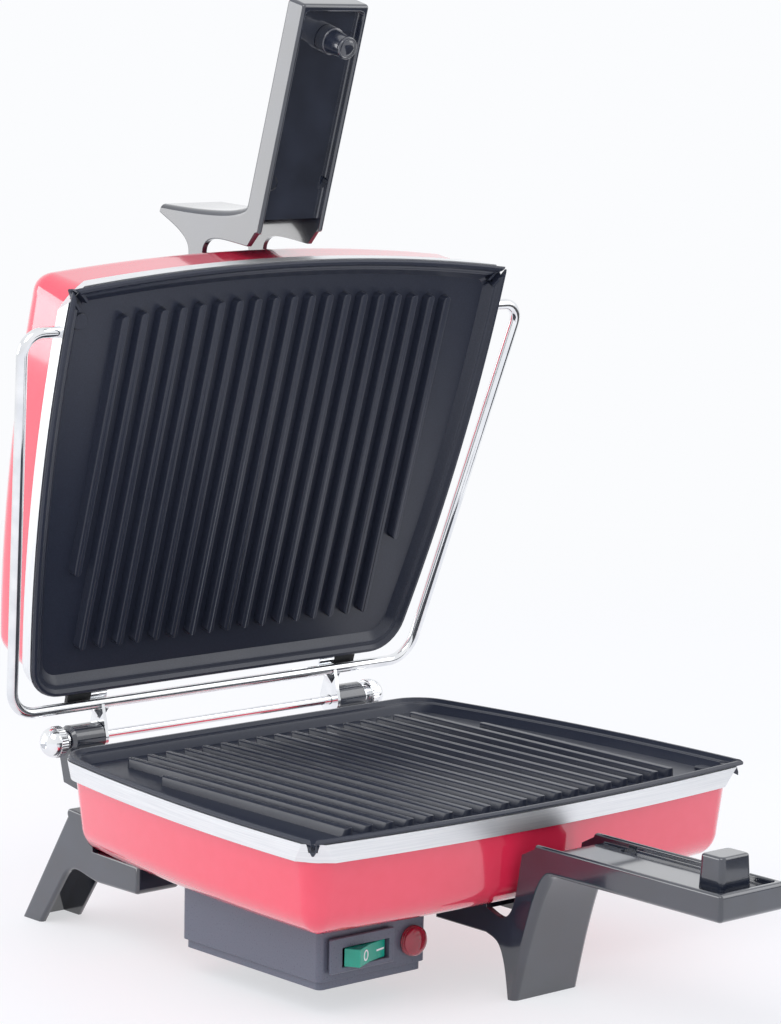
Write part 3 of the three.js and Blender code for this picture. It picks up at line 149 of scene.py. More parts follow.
# %% Finish from noises
def finish(name, tones, noises, rough=None, relief=None, span=(0.3, 0.7), sockets=None):
    """A material whose tone, roughness and relief each follow a noise of (mm apart, detail).

    Rough is a pair of roughness ends, and relief the bump's strength and its height in mm.
    """
    material, tree, shader = new_material(name)
    place = add_node(tree, "TexCoord").outputs["Object"]
    made = {}
    for noise in dict.fromkeys(noises):
        sizes = {"Scale": per_mm(noise[0]), "Detail": noise[1]}
        made[noise] = add_node(tree, "TexNoise", sizes, {"Vector": place}).outputs["Fac"]
    tone, shine, height = (made[noise] for noise in noises)
    tree.links.new(ramp(tree, tone, *tones, *span), shader.inputs["Base Color"])
    if rough:
        gloss = add_node(tree, "MapRange", {"To Min": rough[0], "To Max": rough[1]}, {"Value": shine})
        tree.links.new(gloss.outputs["Result"], shader.inputs["Roughness"])
    if relief:
        depth = {"Strength": relief[0], "Distance": relief[1] * mm}
        bump = add_node(tree, "Bump", depth, {"Height": height})
        tree.links.new(bump.outputs["Normal"], shader.inputs["Normal"])
    for socket, value in (sockets or {}).items():
        shader.inputs[socket].default_value = value
    print("made", name)
    return material


# %% [markdown]
# ## Enamel
# The two pans are drawn from sheet steel and coated with glossy red enamel. The eye gets a
# deep red with hard, bright reflections, broken a little by the faint orange peel of the
# sprayed coat: waves about 6 mm apart and a few thousandths of a millimetre high.

# %% Red enamel on drawn steel
glassy = {"IOR": 1.6, "Coat Weight": 1.0, "Coat IOR": 1.6}
enamel = finish(
    "sprayed_red_enamel", ("#e72e4e", "#e93252"), [(9, 2), (9, 2), (6, 1)],
    rough=(0.13, 0.16), relief=(0.03, 0.02), sockets={**glassy, "Coat Roughness": 0.05},
)

# %% [markdown]
# ## Brushed steel
# The trim bands are bright steel strip, brushed along their length. The brush leaves fine
# lines that run round the grill, so the noise changes fast across the band, every 0.15 mm or
# so, and slowly along it. The lines are drawn about 0.3 mm apart so that they show. The lid's
# band is tilted with the lid, so a Mapping node turns the pattern with it.


# %% Brushed steel strip
def brushed_strip(name, tilt):
    material, tree, shader = new_material(name)
    place = add_node(tree, "TexCoord").outputs["Object"]
    level_place = add_node(tree, "Mapping", {"Rotation": (tilt, 0, 0)}, {"Vector": place}).outputs["Vector"]
    slow, fine = 30, per_mm(0.3)
    drawn = add_node(tree, "Mapping", {"Scale": (slow, slow, fine)}, {"Vector": level_place})
    noise = add_node(tree, "TexNoise", {"Scale": 1.0, "Detail": 3.0}, {"Vector": drawn.outputs["Vector"]})
    lines = noise.outputs["Fac"]
    gloss = add_node(tree, "MapRange", {"To Min": 0.36, "To Max": 0.5}, {"Value": lines})
    bump = add_node(tree, "Bump", {"Strength": 0.25, "Distance": 0.01 * mm}, {"Height": lines})
    tree.links.new(ramp(tree, lines, "#e4e6e9", "#f6f7f8"), shader.inputs["Base Color"])
    tree.links.new(gloss.outputs["Result"], shader.inputs["Roughness"])
    tree.links.new(bump.outputs["Normal"], shader.inputs["Normal"])
    shader.inputs["Metallic"].default_value = 1.0
    print("made", name)
    return material


strips = (brushed_strip("brushed_steel_strip_base", 0), brushed_strip("brushed_steel_strip_lid", open_angle))

# %% [markdown]
# ## Non-stick coating
# The plates are cast aluminium under a dark sprayed non-stick coat. It is a soft satin, blue
# grey to near black, with a fine grain from the blasted casting below it: bumps about 0.5 mm
# apart, drawn at 0.7 mm so that they show.

# %% Non-stick coat on cast aluminium
coating = finish(
    "sprayed_nonstick_on_casting", ("#252936", "#2f3442"), [(0.7, 3), (25, 2), (0.7, 3)],
    rough=(0.27, 0.38), relief=(0.35, 0.05), span=(0.35, 0.75),
)

# %% [markdown]
# ## Phenolic mouldings
# The leg and handle mouldings, the pin, the stop block, the feet and the hinge lugs are black
# phenolic, the hard plastic of pan handles. It comes from the mould glossy, with slow waves in
# the surface and a trace of dust, so the roughness wanders a little.

# %% Moulded black phenolic
phenolic = finish(
    "moulded_black_phenolic", ("#20242f", "#2a2f3c"), [(18, 3), (18, 3), (2.5, 2)],
    rough=(0.1, 0.2), relief=(0.08, 0.02), sockets={**glassy, "Coat Roughness": 0.06},
)

# %% [markdown]
# ## Chrome
# The bail wire, the knobs and the clips are plated with chromium over polished steel. Chrome
# is nearly a mirror. What gives it away is a slight unevenness of the polish, so a slow noise
# moves the roughness between 0.04 and 0.12.

# %% Polished chromium plate
chrome = finish(
    "polished_chromium_plate", ("#e2e4e7", "#f4f5f6"), [(12, 2)] * 3,
    rough=(0.04, 0.12), sockets={"Metallic": 1.0},
)

# %% [markdown]
# ## Switch box plastics
# The box and the switch's bezel are dark ABS with a fine spark-eroded grain, about 0.4 mm
# across and drawn at 0.8 mm so that it shows. The rocker is glossy green polycarbonate and the
# lamp's lens is clear red acrylic. The rocker lets light in a little way, and the lens lets
# half of it through, so both have a deeper colour in the shade.

# %% Dark ABS, green polycarbonate and red acrylic
abs_plastic = finish(
    "spark_grained_dark_abs", ("#5a5e6b", "#606471"), [(0.8, 3)] * 3,
    rough=(0.24, 0.34), relief=(0.08, 0.02),
)
green_sockets = {
    "Roughness": 0.22, "IOR": 1.58, "Subsurface Weight": 0.15, "Subsurface Radius": (0.001, 0.004, 0.003),
}
green = finish("moulded_green_polycarbonate", ("#0b9a80", "#12a88d"), [(10, 2)] * 3, sockets=green_sockets)
lens = finish(
    "moulded_red_acrylic", ("#b80c33", "#cc143f"), [(8, 2)] * 3,
    sockets={"Roughness": 0.05, "IOR": 1.49, "Transmission Weight": 0.5, "Coat Weight": 0.8},
)

# %% [markdown]
# ## Plain inner materials
# The small parts that show only from below or behind have plainer finishes: rolled steel for
# screws and elements, stove-bright aluminium for the trays, steatite for the thermostats and
# the terminal block, nitrile rubber for the rests and the gland, and printing ink for marks.

# %% Steel, aluminium, steatite, rubber and ink
faint, metal = (0.2, 0.02), {"Metallic": 1.0}


def plain(name, tones, apart, rough, relief=faint, sockets=None):
    return finish(name, tones, [(apart, 3)] * 3, rough, relief, sockets=sockets)


steel = plain("zinc_plated_steel", ("#8b8e93", "#a7a9ad"), 3, (0.3, 0.45), sockets=metal)
tray_metal = plain("rolled_aluminium_sheet", ("#b3b5b9", "#c6c8cb"), 4, (0.3, 0.5), sockets=metal)
steatite = plain("pressed_steatite", ("#d9d3c6", "#e8e3d8"), 1.2, (0.5, 0.7))
rubber = plain("moulded_nitrile_rubber", ("#0f1012", "#1b1c1f"), 1, (0.45, 0.6))
ink = plain("white_printing_ink", ("#e9ebea", "#f6f7f6"), 1.5, (0.4, 0.5), relief=(0.2, 0.005))

# %% [markdown]
# ## Modelling helpers
# Nearly every part here is a stack of outlines: a ring of edges is extruded again and again,
# and after each extrusion the new ring is set on its outline. That is how one would trace a
# drawn pan or a casting by hand, only with exact places. Other helpers cut one piece with
# another, round its edges, and give it its place, its material and the body that carries it.

# %% Stack of rings
def arc(start, end, steps):
    """Cosine and sine at even steps from one angle to another, in degrees."""
    angles = [math.radians(start + (end - start) * i / steps) for i in range(steps + 1)]
    return [(math.cos(angle), math.sin(angle)) for angle in angles]


def circle(count):
    return arc(0, 360, count)[:-1]


def deselect():
    bpy.ops.object.select_all(action="DESELECT")


def focus(piece):
    """Selects one piece and makes it active."""
    deselect()
    piece.select_set(True)
    bpy.context.view_layer.objects.active = piece


def edit(piece):
    """Opens a piece in edit mode with everything selected."""
    focus(piece)
    bpy.ops.object.mode_set(mode="EDIT")
    bpy.ops.mesh.select_mode(type="VERT")
    bpy.ops.mesh.select_all(action="SELECT")


def close_edit():
    bpy.ops.object.mode_set(mode="OBJECT")


def key(place):
    return tuple(round(c, 7) for c in place)


def ring_stack(name, rings, loop=False, open_start=False):
    """Rings of equal counts, extruded one from the next; a loop joins its last to its first."""
    deselect()
    bpy.ops.mesh.primitive_circle_add(vertices=len(rings[0]), radius=0.1)
    piece = bpy.context.object
    piece.name = name
    for vertex, place in zip(piece.data.vertices, rings[0]):
        vertex.co = place
    edit(piece)
    for before, after in zip(rings, rings[1:] + ([rings[0]] if loop else [])):
        bpy.ops.mesh.extrude_edges_move()
        mesh = bmesh.from_edit_mesh(piece.data)
        places = {key(Vector(old)): Vector(new) for old, new in zip(before, after)}
        for vertex in mesh.verts:
            if vertex.select:
                vertex.co = places[key(vertex.co)]
        bmesh.update_edit_mesh(piece.data)
    if not loop:
        bpy.ops.mesh.edge_face_add()
    if not loop and not open_start:
        bpy.ops.mesh.select_all(action="DESELECT")
        mesh = bmesh.from_edit_mesh(piece.data)
        for edge in mesh.edges:
            edge.select_set(edge.is_boundary)
        bmesh.update_edit_mesh(piece.data)
        bpy.ops.mesh.edge_face_add()
    bpy.ops.mesh.select_all(action="SELECT")
    bpy.ops.mesh.remove_doubles(threshold=0.000001)
    bpy.ops.mesh.normals_make_consistent(inside=False)
    close_edit()
    return piece


# %% Side profile, cutting and joining
def side_profile(name, points, x_from, x_to):
    """A profile of (y, z) points in mm, pushed from one x to another."""
    return ring_stack(name, [[(x, y * mm, z * mm) for y, z in points] for x in (x_from, x_to)])


def apply(piece, kind, **settings):
    """Adds a modifier with its settings and applies it."""
    focus(piece)
    modifier = piece.modifiers.new(kind.lower(), kind)
    for name, value in settings.items():
        setattr(modifier, name, value)
    bpy.ops.object.modifier_apply(modifier=modifier.name)
    return piece


def cut(piece, *cutters):
    for cutter in cutters:
        apply(piece, "BOOLEAN", operation="DIFFERENCE", object=cutter, solver="MANIFOLD")
        bpy.data.objects.remove(cutter)
    return piece


def join(name, *pieces):
    deselect()
    for piece in pieces:
        piece.select_set(True)
    bpy.context.view_layer.objects.active = pieces[0]
    bpy.ops.object.join()
    pieces[0].name = name
    return pieces[0]


def shade(piece, smooth):
    """Shades a piece smooth below an angle in degrees, with large faces kept flat."""
    focus(piece)
    bpy.ops.object.shade_smooth_by_angle(angle=math.radians(smooth))
    return apply(piece, "WEIGHTED_NORMAL", keep_sharp=True)


def soften(piece, width, angle=30, segments=3, smooth=35):
    """Rounds the sharp edges and shades the piece."""
    apply(
        piece, "BEVEL", width=width, segments=segments, limit_method="ANGLE",
        angle_limit=math.radians(angle), use_clamp_overlap=True, miter_outer="MITER_ARC",
    )
    return shade(piece, smooth)


def dress(piece, body, material, stands_for=(), place=None):
    """Places a finished piece, gives it its material and lets it ride on its body."""
    if place is not None:
        piece.data.transform(place)
        if place.determinant() < 0:
            piece.data.flip_normals()
    piece.data.materials.clear()
    piece.data.materials.append(material)
    for polygon in piece.data.polygons:
        polygon.material_index = 0
    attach(piece, body)
    if stands_for:
        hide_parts(*stands_for)
    print(piece.name, "has", len(piece.data.polygons), "faces")


def twin(piece, name):
    """A copy with its own mesh."""
    other = piece.copy()
    other.data = piece.data.copy()
    other.name = name
    bpy.context.scene.collection.objects.link(other)
    return other


def dress_both(piece, materials, names, nodes):
    """Gives the base and the lid a copy each, from lists in that order."""
    for half, material, name, node in zip(halves, materials, names, nodes):
        dress(twin(piece, name), half, material, (node,), halves[half])
    bpy.data.objects.remove(piece)


def merged_copy(node, name):
    """A copy of a solid part with its loose triangles merged into flat faces."""
    piece = twin(frame["nodes"][node], name)
    piece.parent = None
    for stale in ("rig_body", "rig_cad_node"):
        del piece[stale]
    edit(piece)
    bpy.ops.mesh.remove_doubles(threshold=0.000001)
    bpy.ops.mesh.dissolve_limited(angle_limit=math.radians(1))
    close_edit()
    return piece


print("helpers ready")

# %% [markdown]
# ## Plan outline
# Seen from above, each half is a soft trapezium: 300 mm wide at the front and 255 mm at the
# back, with a slightly bowed front and sides. The outline can be moved in by an inset, as the
# stepped rim of the plate and the walls of the pan need, and its front corners can be rounded
# or cut off straight, as on the trim band.

# %% Plan outline
plate_depth, front_half, back_half = 241.3 * mm, 150 * mm, 127.7 * mm
front_bulge, side_bulge, back_radius = 9.4 * mm, 6.5 * mm, 22 * mm
corner_y = -plate_depth / 2 + front_bulge


def side_at(y):
    t = (y - corner_y) / (plate_depth - front_bulge)
    x = front_half + (back_half - front_half) * t + 4 * side_bulge * t * (1 - t)
    slope = (back_half - front_half + 4 * side_bulge * (1 - 2 * t)) / (plate_depth - front_bulge)
    return x, slope


def front_at(x):
    share = x / front_half
    return -plate_depth / 2 + front_bulge * share**2, 2 * front_bulge * share / front_half


def outline(inset, radius, chamfer=0.0, corner_steps=8, side_steps=18, front_steps=24):
    """Plan points of both sides, anticlockwise from the front left corner."""
    x, y = front_half - inset - radius, corner_y + inset + radius
    for _ in range(6):
        side_x, side_slope = side_at(y)
        front_y, front_slope = front_at(x)
        x = side_x - (inset + radius) * math.hypot(1, side_slope)
        y = front_y + (inset + radius) * math.hypot(1, front_slope)
    start, end = math.degrees(math.atan2(-1, front_at(x)[1])), math.degrees(math.atan2(-side_at(y)[1], 1))
    corner = [Vector((x + radius * c, y + radius * s)) for c, s in arc(start, end, corner_steps)]
    first, last = corner[0].copy(), corner[-1].copy()
    right = [p.lerp(first.lerp(last, i / corner_steps), chamfer) for i, p in enumerate(corner)]
    reach, back_y = max(back_radius - inset, 0.4 * mm), plate_depth / 2 - inset
    touch_y = back_y - reach
    for _ in range(4):
        edge_x, slope = side_at(touch_y)
        edge_x -= inset * math.hypot(1, slope)
        angle = math.atan2(-slope, 1)
        touch_y = back_y - reach * (1 - math.sin(angle))
    centre = Vector((edge_x - reach * math.cos(angle), back_y - reach))
    from_y = right[-1].y
    for i in range(1, side_steps):
        y = from_y + (touch_y - from_y) * i / side_steps
        here, slope = side_at(y)
        right.append(Vector((here - inset * math.hypot(1, slope), y)))
    right += [centre + Vector(spot) * reach for spot in arc(math.degrees(angle), 90, corner_steps)]
    middle = []
    for i in range(1, front_steps):
        x = -first.x + 2 * first.x * i / front_steps
        y, slope = front_at(x)
        middle.append(Vector((x, y + inset * math.hypot(1, slope))))
    left = [Vector((-p.x, p.y)) for p in reversed(right)]
    return middle + right + left


def ring(inset, z, radius, chamfer=0.0):
    return [(p.x, p.y, z) for p in outline(inset, radius, chamfer)]


print("outline has", len(ring(0, 0, 9 * mm)), "points")

# %% [markdown]
# ## Enamelled pans
# Each pan is deep drawn, so its wall leans in a little and meets the floor in a 15 mm round.
# The skin is a stack of rings from the top edge, hidden under the trim band, down the wall,
# round the fillet and across the floor. Solidify then gives it its 1 mm sheet.

# %% Pans
shell_depth, fillet = 49.9 * mm, 15 * mm
top_inset, foot_inset = 4.3 * mm, 7.8 * mm
pan_top, pan_corner = -6.5 * mm, 15 * mm


def corner_of(inset):
    return pan_corner - inset + top_inset


rings = []
for share in (0, 0.25, 0.5, 0.75):
    inset = top_inset + (foot_inset - top_inset) * share
    z = pan_top + (fillet - shell_depth - pan_top) * share
    rings.append(ring(inset, z, corner_of(inset)))


def floor_round(grow=0.0):
    """Rings round the pan's outer fillet from wall to floor, or a little outside it."""
    stack = []
    for c, s in arc(0, 90, 10):
        inset = foot_inset - grow + (fillet + grow) * (1 - c)
        stack.append(ring(inset, fillet - shell_depth - (fillet + grow) * s, max(corner_of(inset), 1 * mm)))
    return stack


pan = ring_stack("pan", rings + floor_round(), open_start=True)
apply(pan, "SOLIDIFY", thickness=1 * mm, offset=-1.0)
shade(pan, 40)
pan_names, shell_nodes = ("base_enamel_pan", "lid_enamel_pan"), ("base_shell", "lid_shell")
dress_both(pan, (enamel, enamel), pan_names, shell_nodes)

# %% [markdown]
# ## Trim bands
# A bright strip with a lip at its foot hides the pan's edge. It is 10.5 mm tall, tapers in by
# 2 mm and is cut off straight across the front corners, a little less at its rounded foot.
# Its section is a closed loop of rings.

# %% Trim bands
band_height, band_wall, lip = 10.5 * mm, 0.8 * mm, 2.6 * mm
gap, taper = 0.3 * mm, 2 * mm
chamfer_radius, foot_radius, foot_chamfer = 9 * mm, 15 * mm, 0.7
band = ring_stack("band", [
    ring(0, -gap, chamfer_radius, 1),
    ring(taper - 0.1 * mm, 0.5 * mm - band_height, foot_radius, foot_chamfer),
    ring(taper + 0.05 * mm, 0.15 * mm - band_height, foot_radius, foot_chamfer),
    ring(taper + 0.4 * mm, -band_height, foot_radius, foot_chamfer),
    ring(top_inset - gap, -band_height, foot_radius),
    ring(top_inset - gap, -band_height + band_wall, foot_radius),
    ring(taper + band_wall, -band_height + band_wall, foot_radius, foot_chamfer),
    ring(band_wall, -gap - band_wall, chamfer_radius, 1),
    ring(lip, -gap - band_wall, chamfer_radius, 1),
    ring(lip, -gap, chamfer_radius, 1),
], loop=True)
print("band", len(band.data.polygons), "faces")

# %% [markdown]
# ## Grill plates
# The castings are the part that takes the most skill. Round the tray runs a rim with a raised
# crest, then a narrow ledge, then a sloping wall down to the floor. The rings below follow
# that section, and a bevel turns its breaks into the soft edges of a coated casting.

# %% Plate body
rim_crest, rim_width, ledge, drop = 2.2 * mm, 4.2 * mm, 2.2 * mm, 0.4 * mm
wall_run, floor_depth, plate_wall = 4.1 * mm, 4.5 * mm, 4.5 * mm
rim_inner = rim_width + ledge
floor_inset = rim_inner + wall_run
skirt = -floor_depth - plate_wall


def level(inset, z):
    return ring(inset, z, 1.2 * mm + inset / 2)


plate = ring_stack("plate", [
    level(floor_inset + plate_wall / 2, skirt),
    level(floor_inset - ledge, skirt + ledge),
    level(6 * mm, -1.1 * mm),
    level(5.6 * mm, 0),
    level(0.6 * mm, 0),
    level(gap, rim_crest / 2),
    level(rim_width * 0.28, rim_crest),
    level(rim_width * 0.62, rim_crest),
    level(rim_width, drop),
    level(rim_inner, -drop),
    level(rim_inner + wall_run * 0.3, -floor_depth * 0.45),
    level(floor_inset, -floor_depth),
])
print("plate body", len(plate.data.polygons), "faces")

# %% [markdown]
# At each front corner a spout leads out over the band, so that fat can be poured off. Its body
# is a tapered bar that drops to a narrow tip, and a notch that is wider at the top runs through
# the rim and along the bar. The band gives way to it with a small gap.

# %% Spouts
spout_angle = math.radians(46)


def spout_section(side, along, low_half, high_half, low, high):
    """Four points across a spout, at a distance along its diagonal from the sharp corner."""
    c, s = math.cos(spout_angle), math.sin(spout_angle)
    x, y = front_half + along * c, corner_y - along * s
    corners = ((-low_half, low), (low_half, low), (high_half, high), (-high_half, high))
    return [(side * (x + edge * s), y + edge * c, z) for edge, z in corners]


def spout_stack(name, side, rows, grow=0.0):
    """Sections from (along, low half width, high half width, low, high) rows in millimetres."""
    return ring_stack(name, [
        spout_section(side, a * mm, b * mm + grow, c * mm + grow, d * mm - grow, e * mm + grow)
        for a, b, c, d, e in rows
    ])


spout_rows = [
    (-13.5, 2.6, 3.6, -6.1, 0.7), (-9.2, 2.4, 3.6, -4.9, 0.7), (-6.3, 1.6, 3.4, -4.6, 0.2),
    (-5.3, 1.2, 3.1, -5.1, -0.6), (-4.3, 0.7, 2.3, -5.7, -2.6), (-3.8, 0.4, 1.3, -6.0, -4.2),
]
notch_rows = [
    (-16, 1.2, 3.1, -4.4, 4.2), (-9, 1.1, 3.1, -3.9, 4.2), (-6.3, 0.8, 2.4, -3.2, 4.2),
    (0, 0.4, 1.2, -5.4, 4.2),
]
spouts = []
for side in (-1, 1):
    cut(plate, spout_stack("notch", side, notch_rows))
    cut(band, spout_stack("clearance", side, spout_rows, gap))
    spout = cut(spout_stack("spout", side, spout_rows), spout_stack("notch", side, notch_rows))
    spouts.append(soften(spout, 0.12 * mm, 30, 1))
soften(plate, 0.3 * mm, 25, 3)
soften(band, 0.15 * mm, 45, 2, 28)
band_names, band_nodes = ("base_bright_band", "lid_bright_band"), ("base_trim_band", "lid_trim_band")
dress_both(band, strips, band_names, band_nodes)

# %% [markdown]
# The ribs are long capsules: a wide foot, a shoulder and a narrow rounded crest, with round
# ends. One rib is modelled and copied, and each copy's ends are moved to follow the bow of the
# front edge. The outermost two stop 70 mm short of the back.

# %% Ribs
rib_pitch, rib_count, half_length = 12.37 * mm, 19, 50 * mm
front_gap, front_bow, back_gap, short_gap = 20.3 * mm, 5.95 * mm, 25.8 * mm, 69.7 * mm
rib_levels = [
    (3.5, -4.9), (3.3, -4.2), (2.75, -2.2), (2.35, -0.9), (2.2, -0.5), (1.95, -0.15), (1.55, 0), (0.5, 0),
]


def capsule(half_width, z, steps=8):
    points = []
    for start, end in ((180, -1), (0, 1)):
        centre = end * (half_length - half_width)
        points += [(half_width * c, centre + half_width * s, z) for c, s in arc(start, start + 180, steps)]
    return points


one_rib = ring_stack("rib", [capsule(w * mm, z * mm) for w, z in rib_levels])
shade(one_rib, 50)
ribs = []
middle = (rib_count - 1) / 2
for i in range(rib_count):
    share = (i - middle) / middle
    front = -plate_depth / 2 + front_gap + front_bow * share**2
    back = plate_depth / 2 - (short_gap if abs(share) == 1 else back_gap)
    rib = twin(one_rib, f"rib_{i}")
    for vertex in rib.data.vertices:
        vertex.co.x += (i - middle) * rib_pitch
        vertex.co.y += front + half_length if vertex.co.y < 0 else back - half_length
    ribs.append(rib)
bpy.data.objects.remove(one_rib)
print(len(ribs), "ribs")

# %% [markdown]
# A low round boss stands on the tray's wall near one front corner, where the mould's pin pushed
# the casting out. It is a turned disc. With it the casting is joined into one piece and set in
# both halves.


# %% Turned pieces and plate assembly
def turned(name, profile, axis, centre, sides=48, knurl=0.0):
    """Rings of (radius, along) pairs in mm about an axis; on marked rings every other point sinks."""
    along = Vector(axis).normalized()
    across = along.orthogonal().normalized()
    up = along.cross(across)
    rings = []
    for radius, distance, *marked in profile:
        points = []
        for i, (c, s) in enumerate(circle(sides)):
            r = (radius - (knurl if marked and i % 2 else 0.0)) * mm
            points.append(tuple(Vector(centre) + along * distance * mm + (across * c + up * s) * r))
        rings.append(points)
    return ring_stack(name, rings)


spot = (138 * mm, -plate_depth / 2 + 29 * mm, -floor_depth - drop)
boss = turned("boss", [(4.4, 0), (4.4, 1.5), (4.1, 1.8), (3.4, 1.8)], (0, 0, 1), spot, sides=32)
soften(boss, 0.1 * mm, 50, 1)
plate = join("casting", plate, *spouts, *ribs, boss)
casting_names, plate_nodes = ("lower_casting", "upper_casting"), ("lower_grill_plate", "upper_grill_plate")
dress_both(plate, (coating, coating), casting_names, plate_nodes)

# %% [markdown]
# ## Leg and handle mouldings
# One moulding is leg and handle in one, and the grill uses it twice: at the front of the base
# and at the front of the lid. Seen from the side it is a smooth curve, so its profile is drawn
# with splines for the shin, the calf and the arch, filled and pushed across. Then the channel
# in the handle, the hollow in the leg and the bolt holes are cut out, and every edge is
# rounded as a moulded edge is.


# %% Spline through points
def smooth_line(points, steps):
    """A smooth cubic line through (y, z) points that keeps its ends."""
    points = [Vector(p) for p in points]
    line = []
    for step in range(steps + 1):
        place = (len(points) - 1) * step / steps
        i = min(int(place), len(points) - 2)
        t = place - i
        p1, p2 = points[i], points[i + 1]
        p0 = points[i - 1] if i else p1
        p3 = points[i + 2] if i + 2 < len(points) else p2
        v0, v1 = (p2 - p0) * 0.5, (p3 - p1) * 0.5
        line.append(
            (2 * p1 - 2 * p2 + v0 + v1) * t**3 + (-3 * p1 + 3 * p2 - 2 * v0 - v1) * t**2 + v0 * t + p1
        )
    return [(p.x, p.y) for p in line]


# %% Profile pushed across
def pushed(name, points, radii, half, steps=5):
    """A closed side profile pushed across the grill, its edges rounded by each point's radius."""
    points = [Vector(p) for p in points]
    pairs = list(zip(points, points[1:] + points[:1]))
    turn = 1 if sum(p.x * q.y - q.x * p.y for p, q in pairs) > 0 else -1
    normals = []
    for p, q in pairs:
        along = (q - p).normalized()
        normals.append(Vector((-along.y, along.x)) * turn)
    inward = [(a + b) / max(1 + a.dot(b), 0.3) for a, b in zip(normals[-1:] + normals[:-1], normals)]
    rings = []
    for side, start in ((-1, 90), (1, 0)):
        for c, s in arc(start, 90 - start, steps):
            spots = [p + way * r * (1 - c) for p, way, r in zip(points, inward, radii)]
            rings.append([(side * (half - r * (1 - s)), p.x, p.y) for p, r in zip(spots, radii)])
    return ring_stack(name, rings)


def corner_arc(centre, radius, start, end, steps=5):
    """Points of an arc round a centre, its angles in degrees."""
    return [(centre[0] + radius * c, centre[1] + radius * s) for c, s in arc(start, end, steps)]


def runs(*parts):
    """Joins (points, start radius, end radius) runs in mm into one line with a radius per point."""
    line, radii = [], []
    for points, first, last in parts:
        line += [(y * mm, z * mm) for y, z in points]
        radii += [(first + (last - first) * i / max(len(points) - 1, 1)) * mm for i in range(len(points))]
    return line, radii


# %% Moulding profile
leg_web, arm_top, width, knee = 3, -(shell_depth + gap) / mm, 45 * mm, 12
ground = 0.05 * mm - plate_height
shin_points = [(-142.5, -28.3), (-139.5, -31.5), (-133, -45), (-125.6, -68.6), (-118.6, -96.5), (-117, -104)]
calf_points = [(-115.1, -104), (-113.7, -96.5), (-110.3, -79), (-105.5, -69.2), (-97, -65.6)]
arch_points = [(-97.3, -52.4), (-109, -55.4), (-116.3, -47), (-121.3, -21)]
shin = smooth_line(shin_points, 44)
outer, edge_radii = runs(
    ([(-129.5, -16.6)] + corner_arc((-131.6, -15.9), 1.6, 20, 90), 1.2, 1.5),
    (corner_arc((-253.5, -16.3), 2.0, 90, 180), 1.5, 1.7),
    (corner_arc((-252.5, -25.3), 3.0, 180, 270), 2.2, 2.6),
    ([(-200, -28.3), (-160, -28.3)], 2.6, 2.6),
    (shin[:knee], 2.6, 4.8),
    (shin[knee:], 4.8, 2.6),
    (smooth_line(calf_points, 26), 0.8, 0.8),
    ([(-60, -65.6)], 0.8, 0.8),
    ([(-60, arm_top), (-97, arm_top)], 0.3, 0.3),
    (smooth_line(arch_points, 20), 0.5, 0.5),
)


def stand(piece):
    """Cuts a leg off level with the floor."""
    edit(piece)
    bpy.ops.mesh.bisect(plane_co=(0, 0, ground), plane_no=(0, 0, -1), use_fill=True, clear_outer=True)
    close_edit()


moulding = pushed("moulding", outer, edge_radii, width / 2)
stand(moulding)
print("moulding", len(moulding.data.polygons), "faces")


# %% Channel and hollow
def rounded_rectangle(centre, size, corner, z, steps=6):
    points = []
    for cx, cy, start in ((1, -1, -90), (1, 1, 0), (-1, 1, 90), (-1, -1, 180)):
        middle = (centre[0] + cx * (size[0] / 2 - corner), centre[1] + cy * (size[1] / 2 - corner))
        points += [(x, y, z) for x, y in corner_arc(middle, corner, start, start + 90, steps)]
    return points


inner_half = width / 2 - leg_web * mm
channel_levels = [(0.9, -18), (0.4, -17.85), (0.1, -17.5), (0, -17)]
lip_round, lip_foot = 1.35, -15.65
channel_levels += [(lip_round * (c - 1), lip_foot + lip_round * s) for c, s in arc(0, 90, 5)]
channel_levels.append((-lip_round, 2))
channel_y, channel_length = -187.75 * mm, 127.5 * mm
channel = ring_stack("channel", [
    rounded_rectangle(
        (0, channel_y), (2 * (inner_half - i * mm), channel_length - 2 * i * mm), (2.4 - i) * mm, z * mm
    )
    for i, z in channel_levels
])
hollow_foot, hollow_top = -99, -40
shin_inner = [(y + leg_web, z + leg_web) for y, z in shin if hollow_foot < z < hollow_top]
hollow = side_profile("hollow", [
    (-137, 2), (-137, -21), *shin_inner, (-115.6, -82), (-107.3, -79), (-102.5, -67.6), (-58, -67.6),
    (-58, -53.4), (-97, -53.4), (-97, 2),
], -inner_half, inner_half)
cut(moulding, channel, hollow)
print("moulding", len(moulding.data.polygons), "faces")

# %% Ejector marks, bolt holes and rounding
up, down, bolt_y, hole = (0, 0, 1), (0, 0, -1), -236.5 * mm, 2.3
ejectors = [
    turned("ejector", [(3.9, 0), (3.9, 3)], up, (side * 16.6 * mm, -157 * mm, -18.6 * mm)) for side in (-1, 1)
]
bolt_hole = turned("bore", [(hole, 0), (hole, 30)], down, (0, bolt_y, 0))
counterbore = turned("counterbore", [(4.3, 0), (4.3, 6)], down, (0, bolt_y, -25.8 * mm))
tie_holes = [
    turned("tie", [(hole, 0), (hole, 12)], up, (side * 12 * mm, -78.5 * mm, -60 * mm)) for side in (-1, 1)
]
cut(moulding, *ejectors, bolt_hole, counterbore, *tie_holes)
soften(moulding, 0.25 * mm, 40, 2, 40)
moulding_names = ("base_leg_and_handle", "lid_leg_and_handle")
dress_both(
    moulding, (phenolic, phenolic), moulding_names, ("front_leg_handle", "lid_leg_handle")
)

# %% [markdown]
# ## Rear feet
# Each rear foot is a hollow moulding: an arm under the pan, closed at its front, and a leg that
# rakes back to the floor. It hugs the pan, so a solid of the pan's outer shape is cut from it.

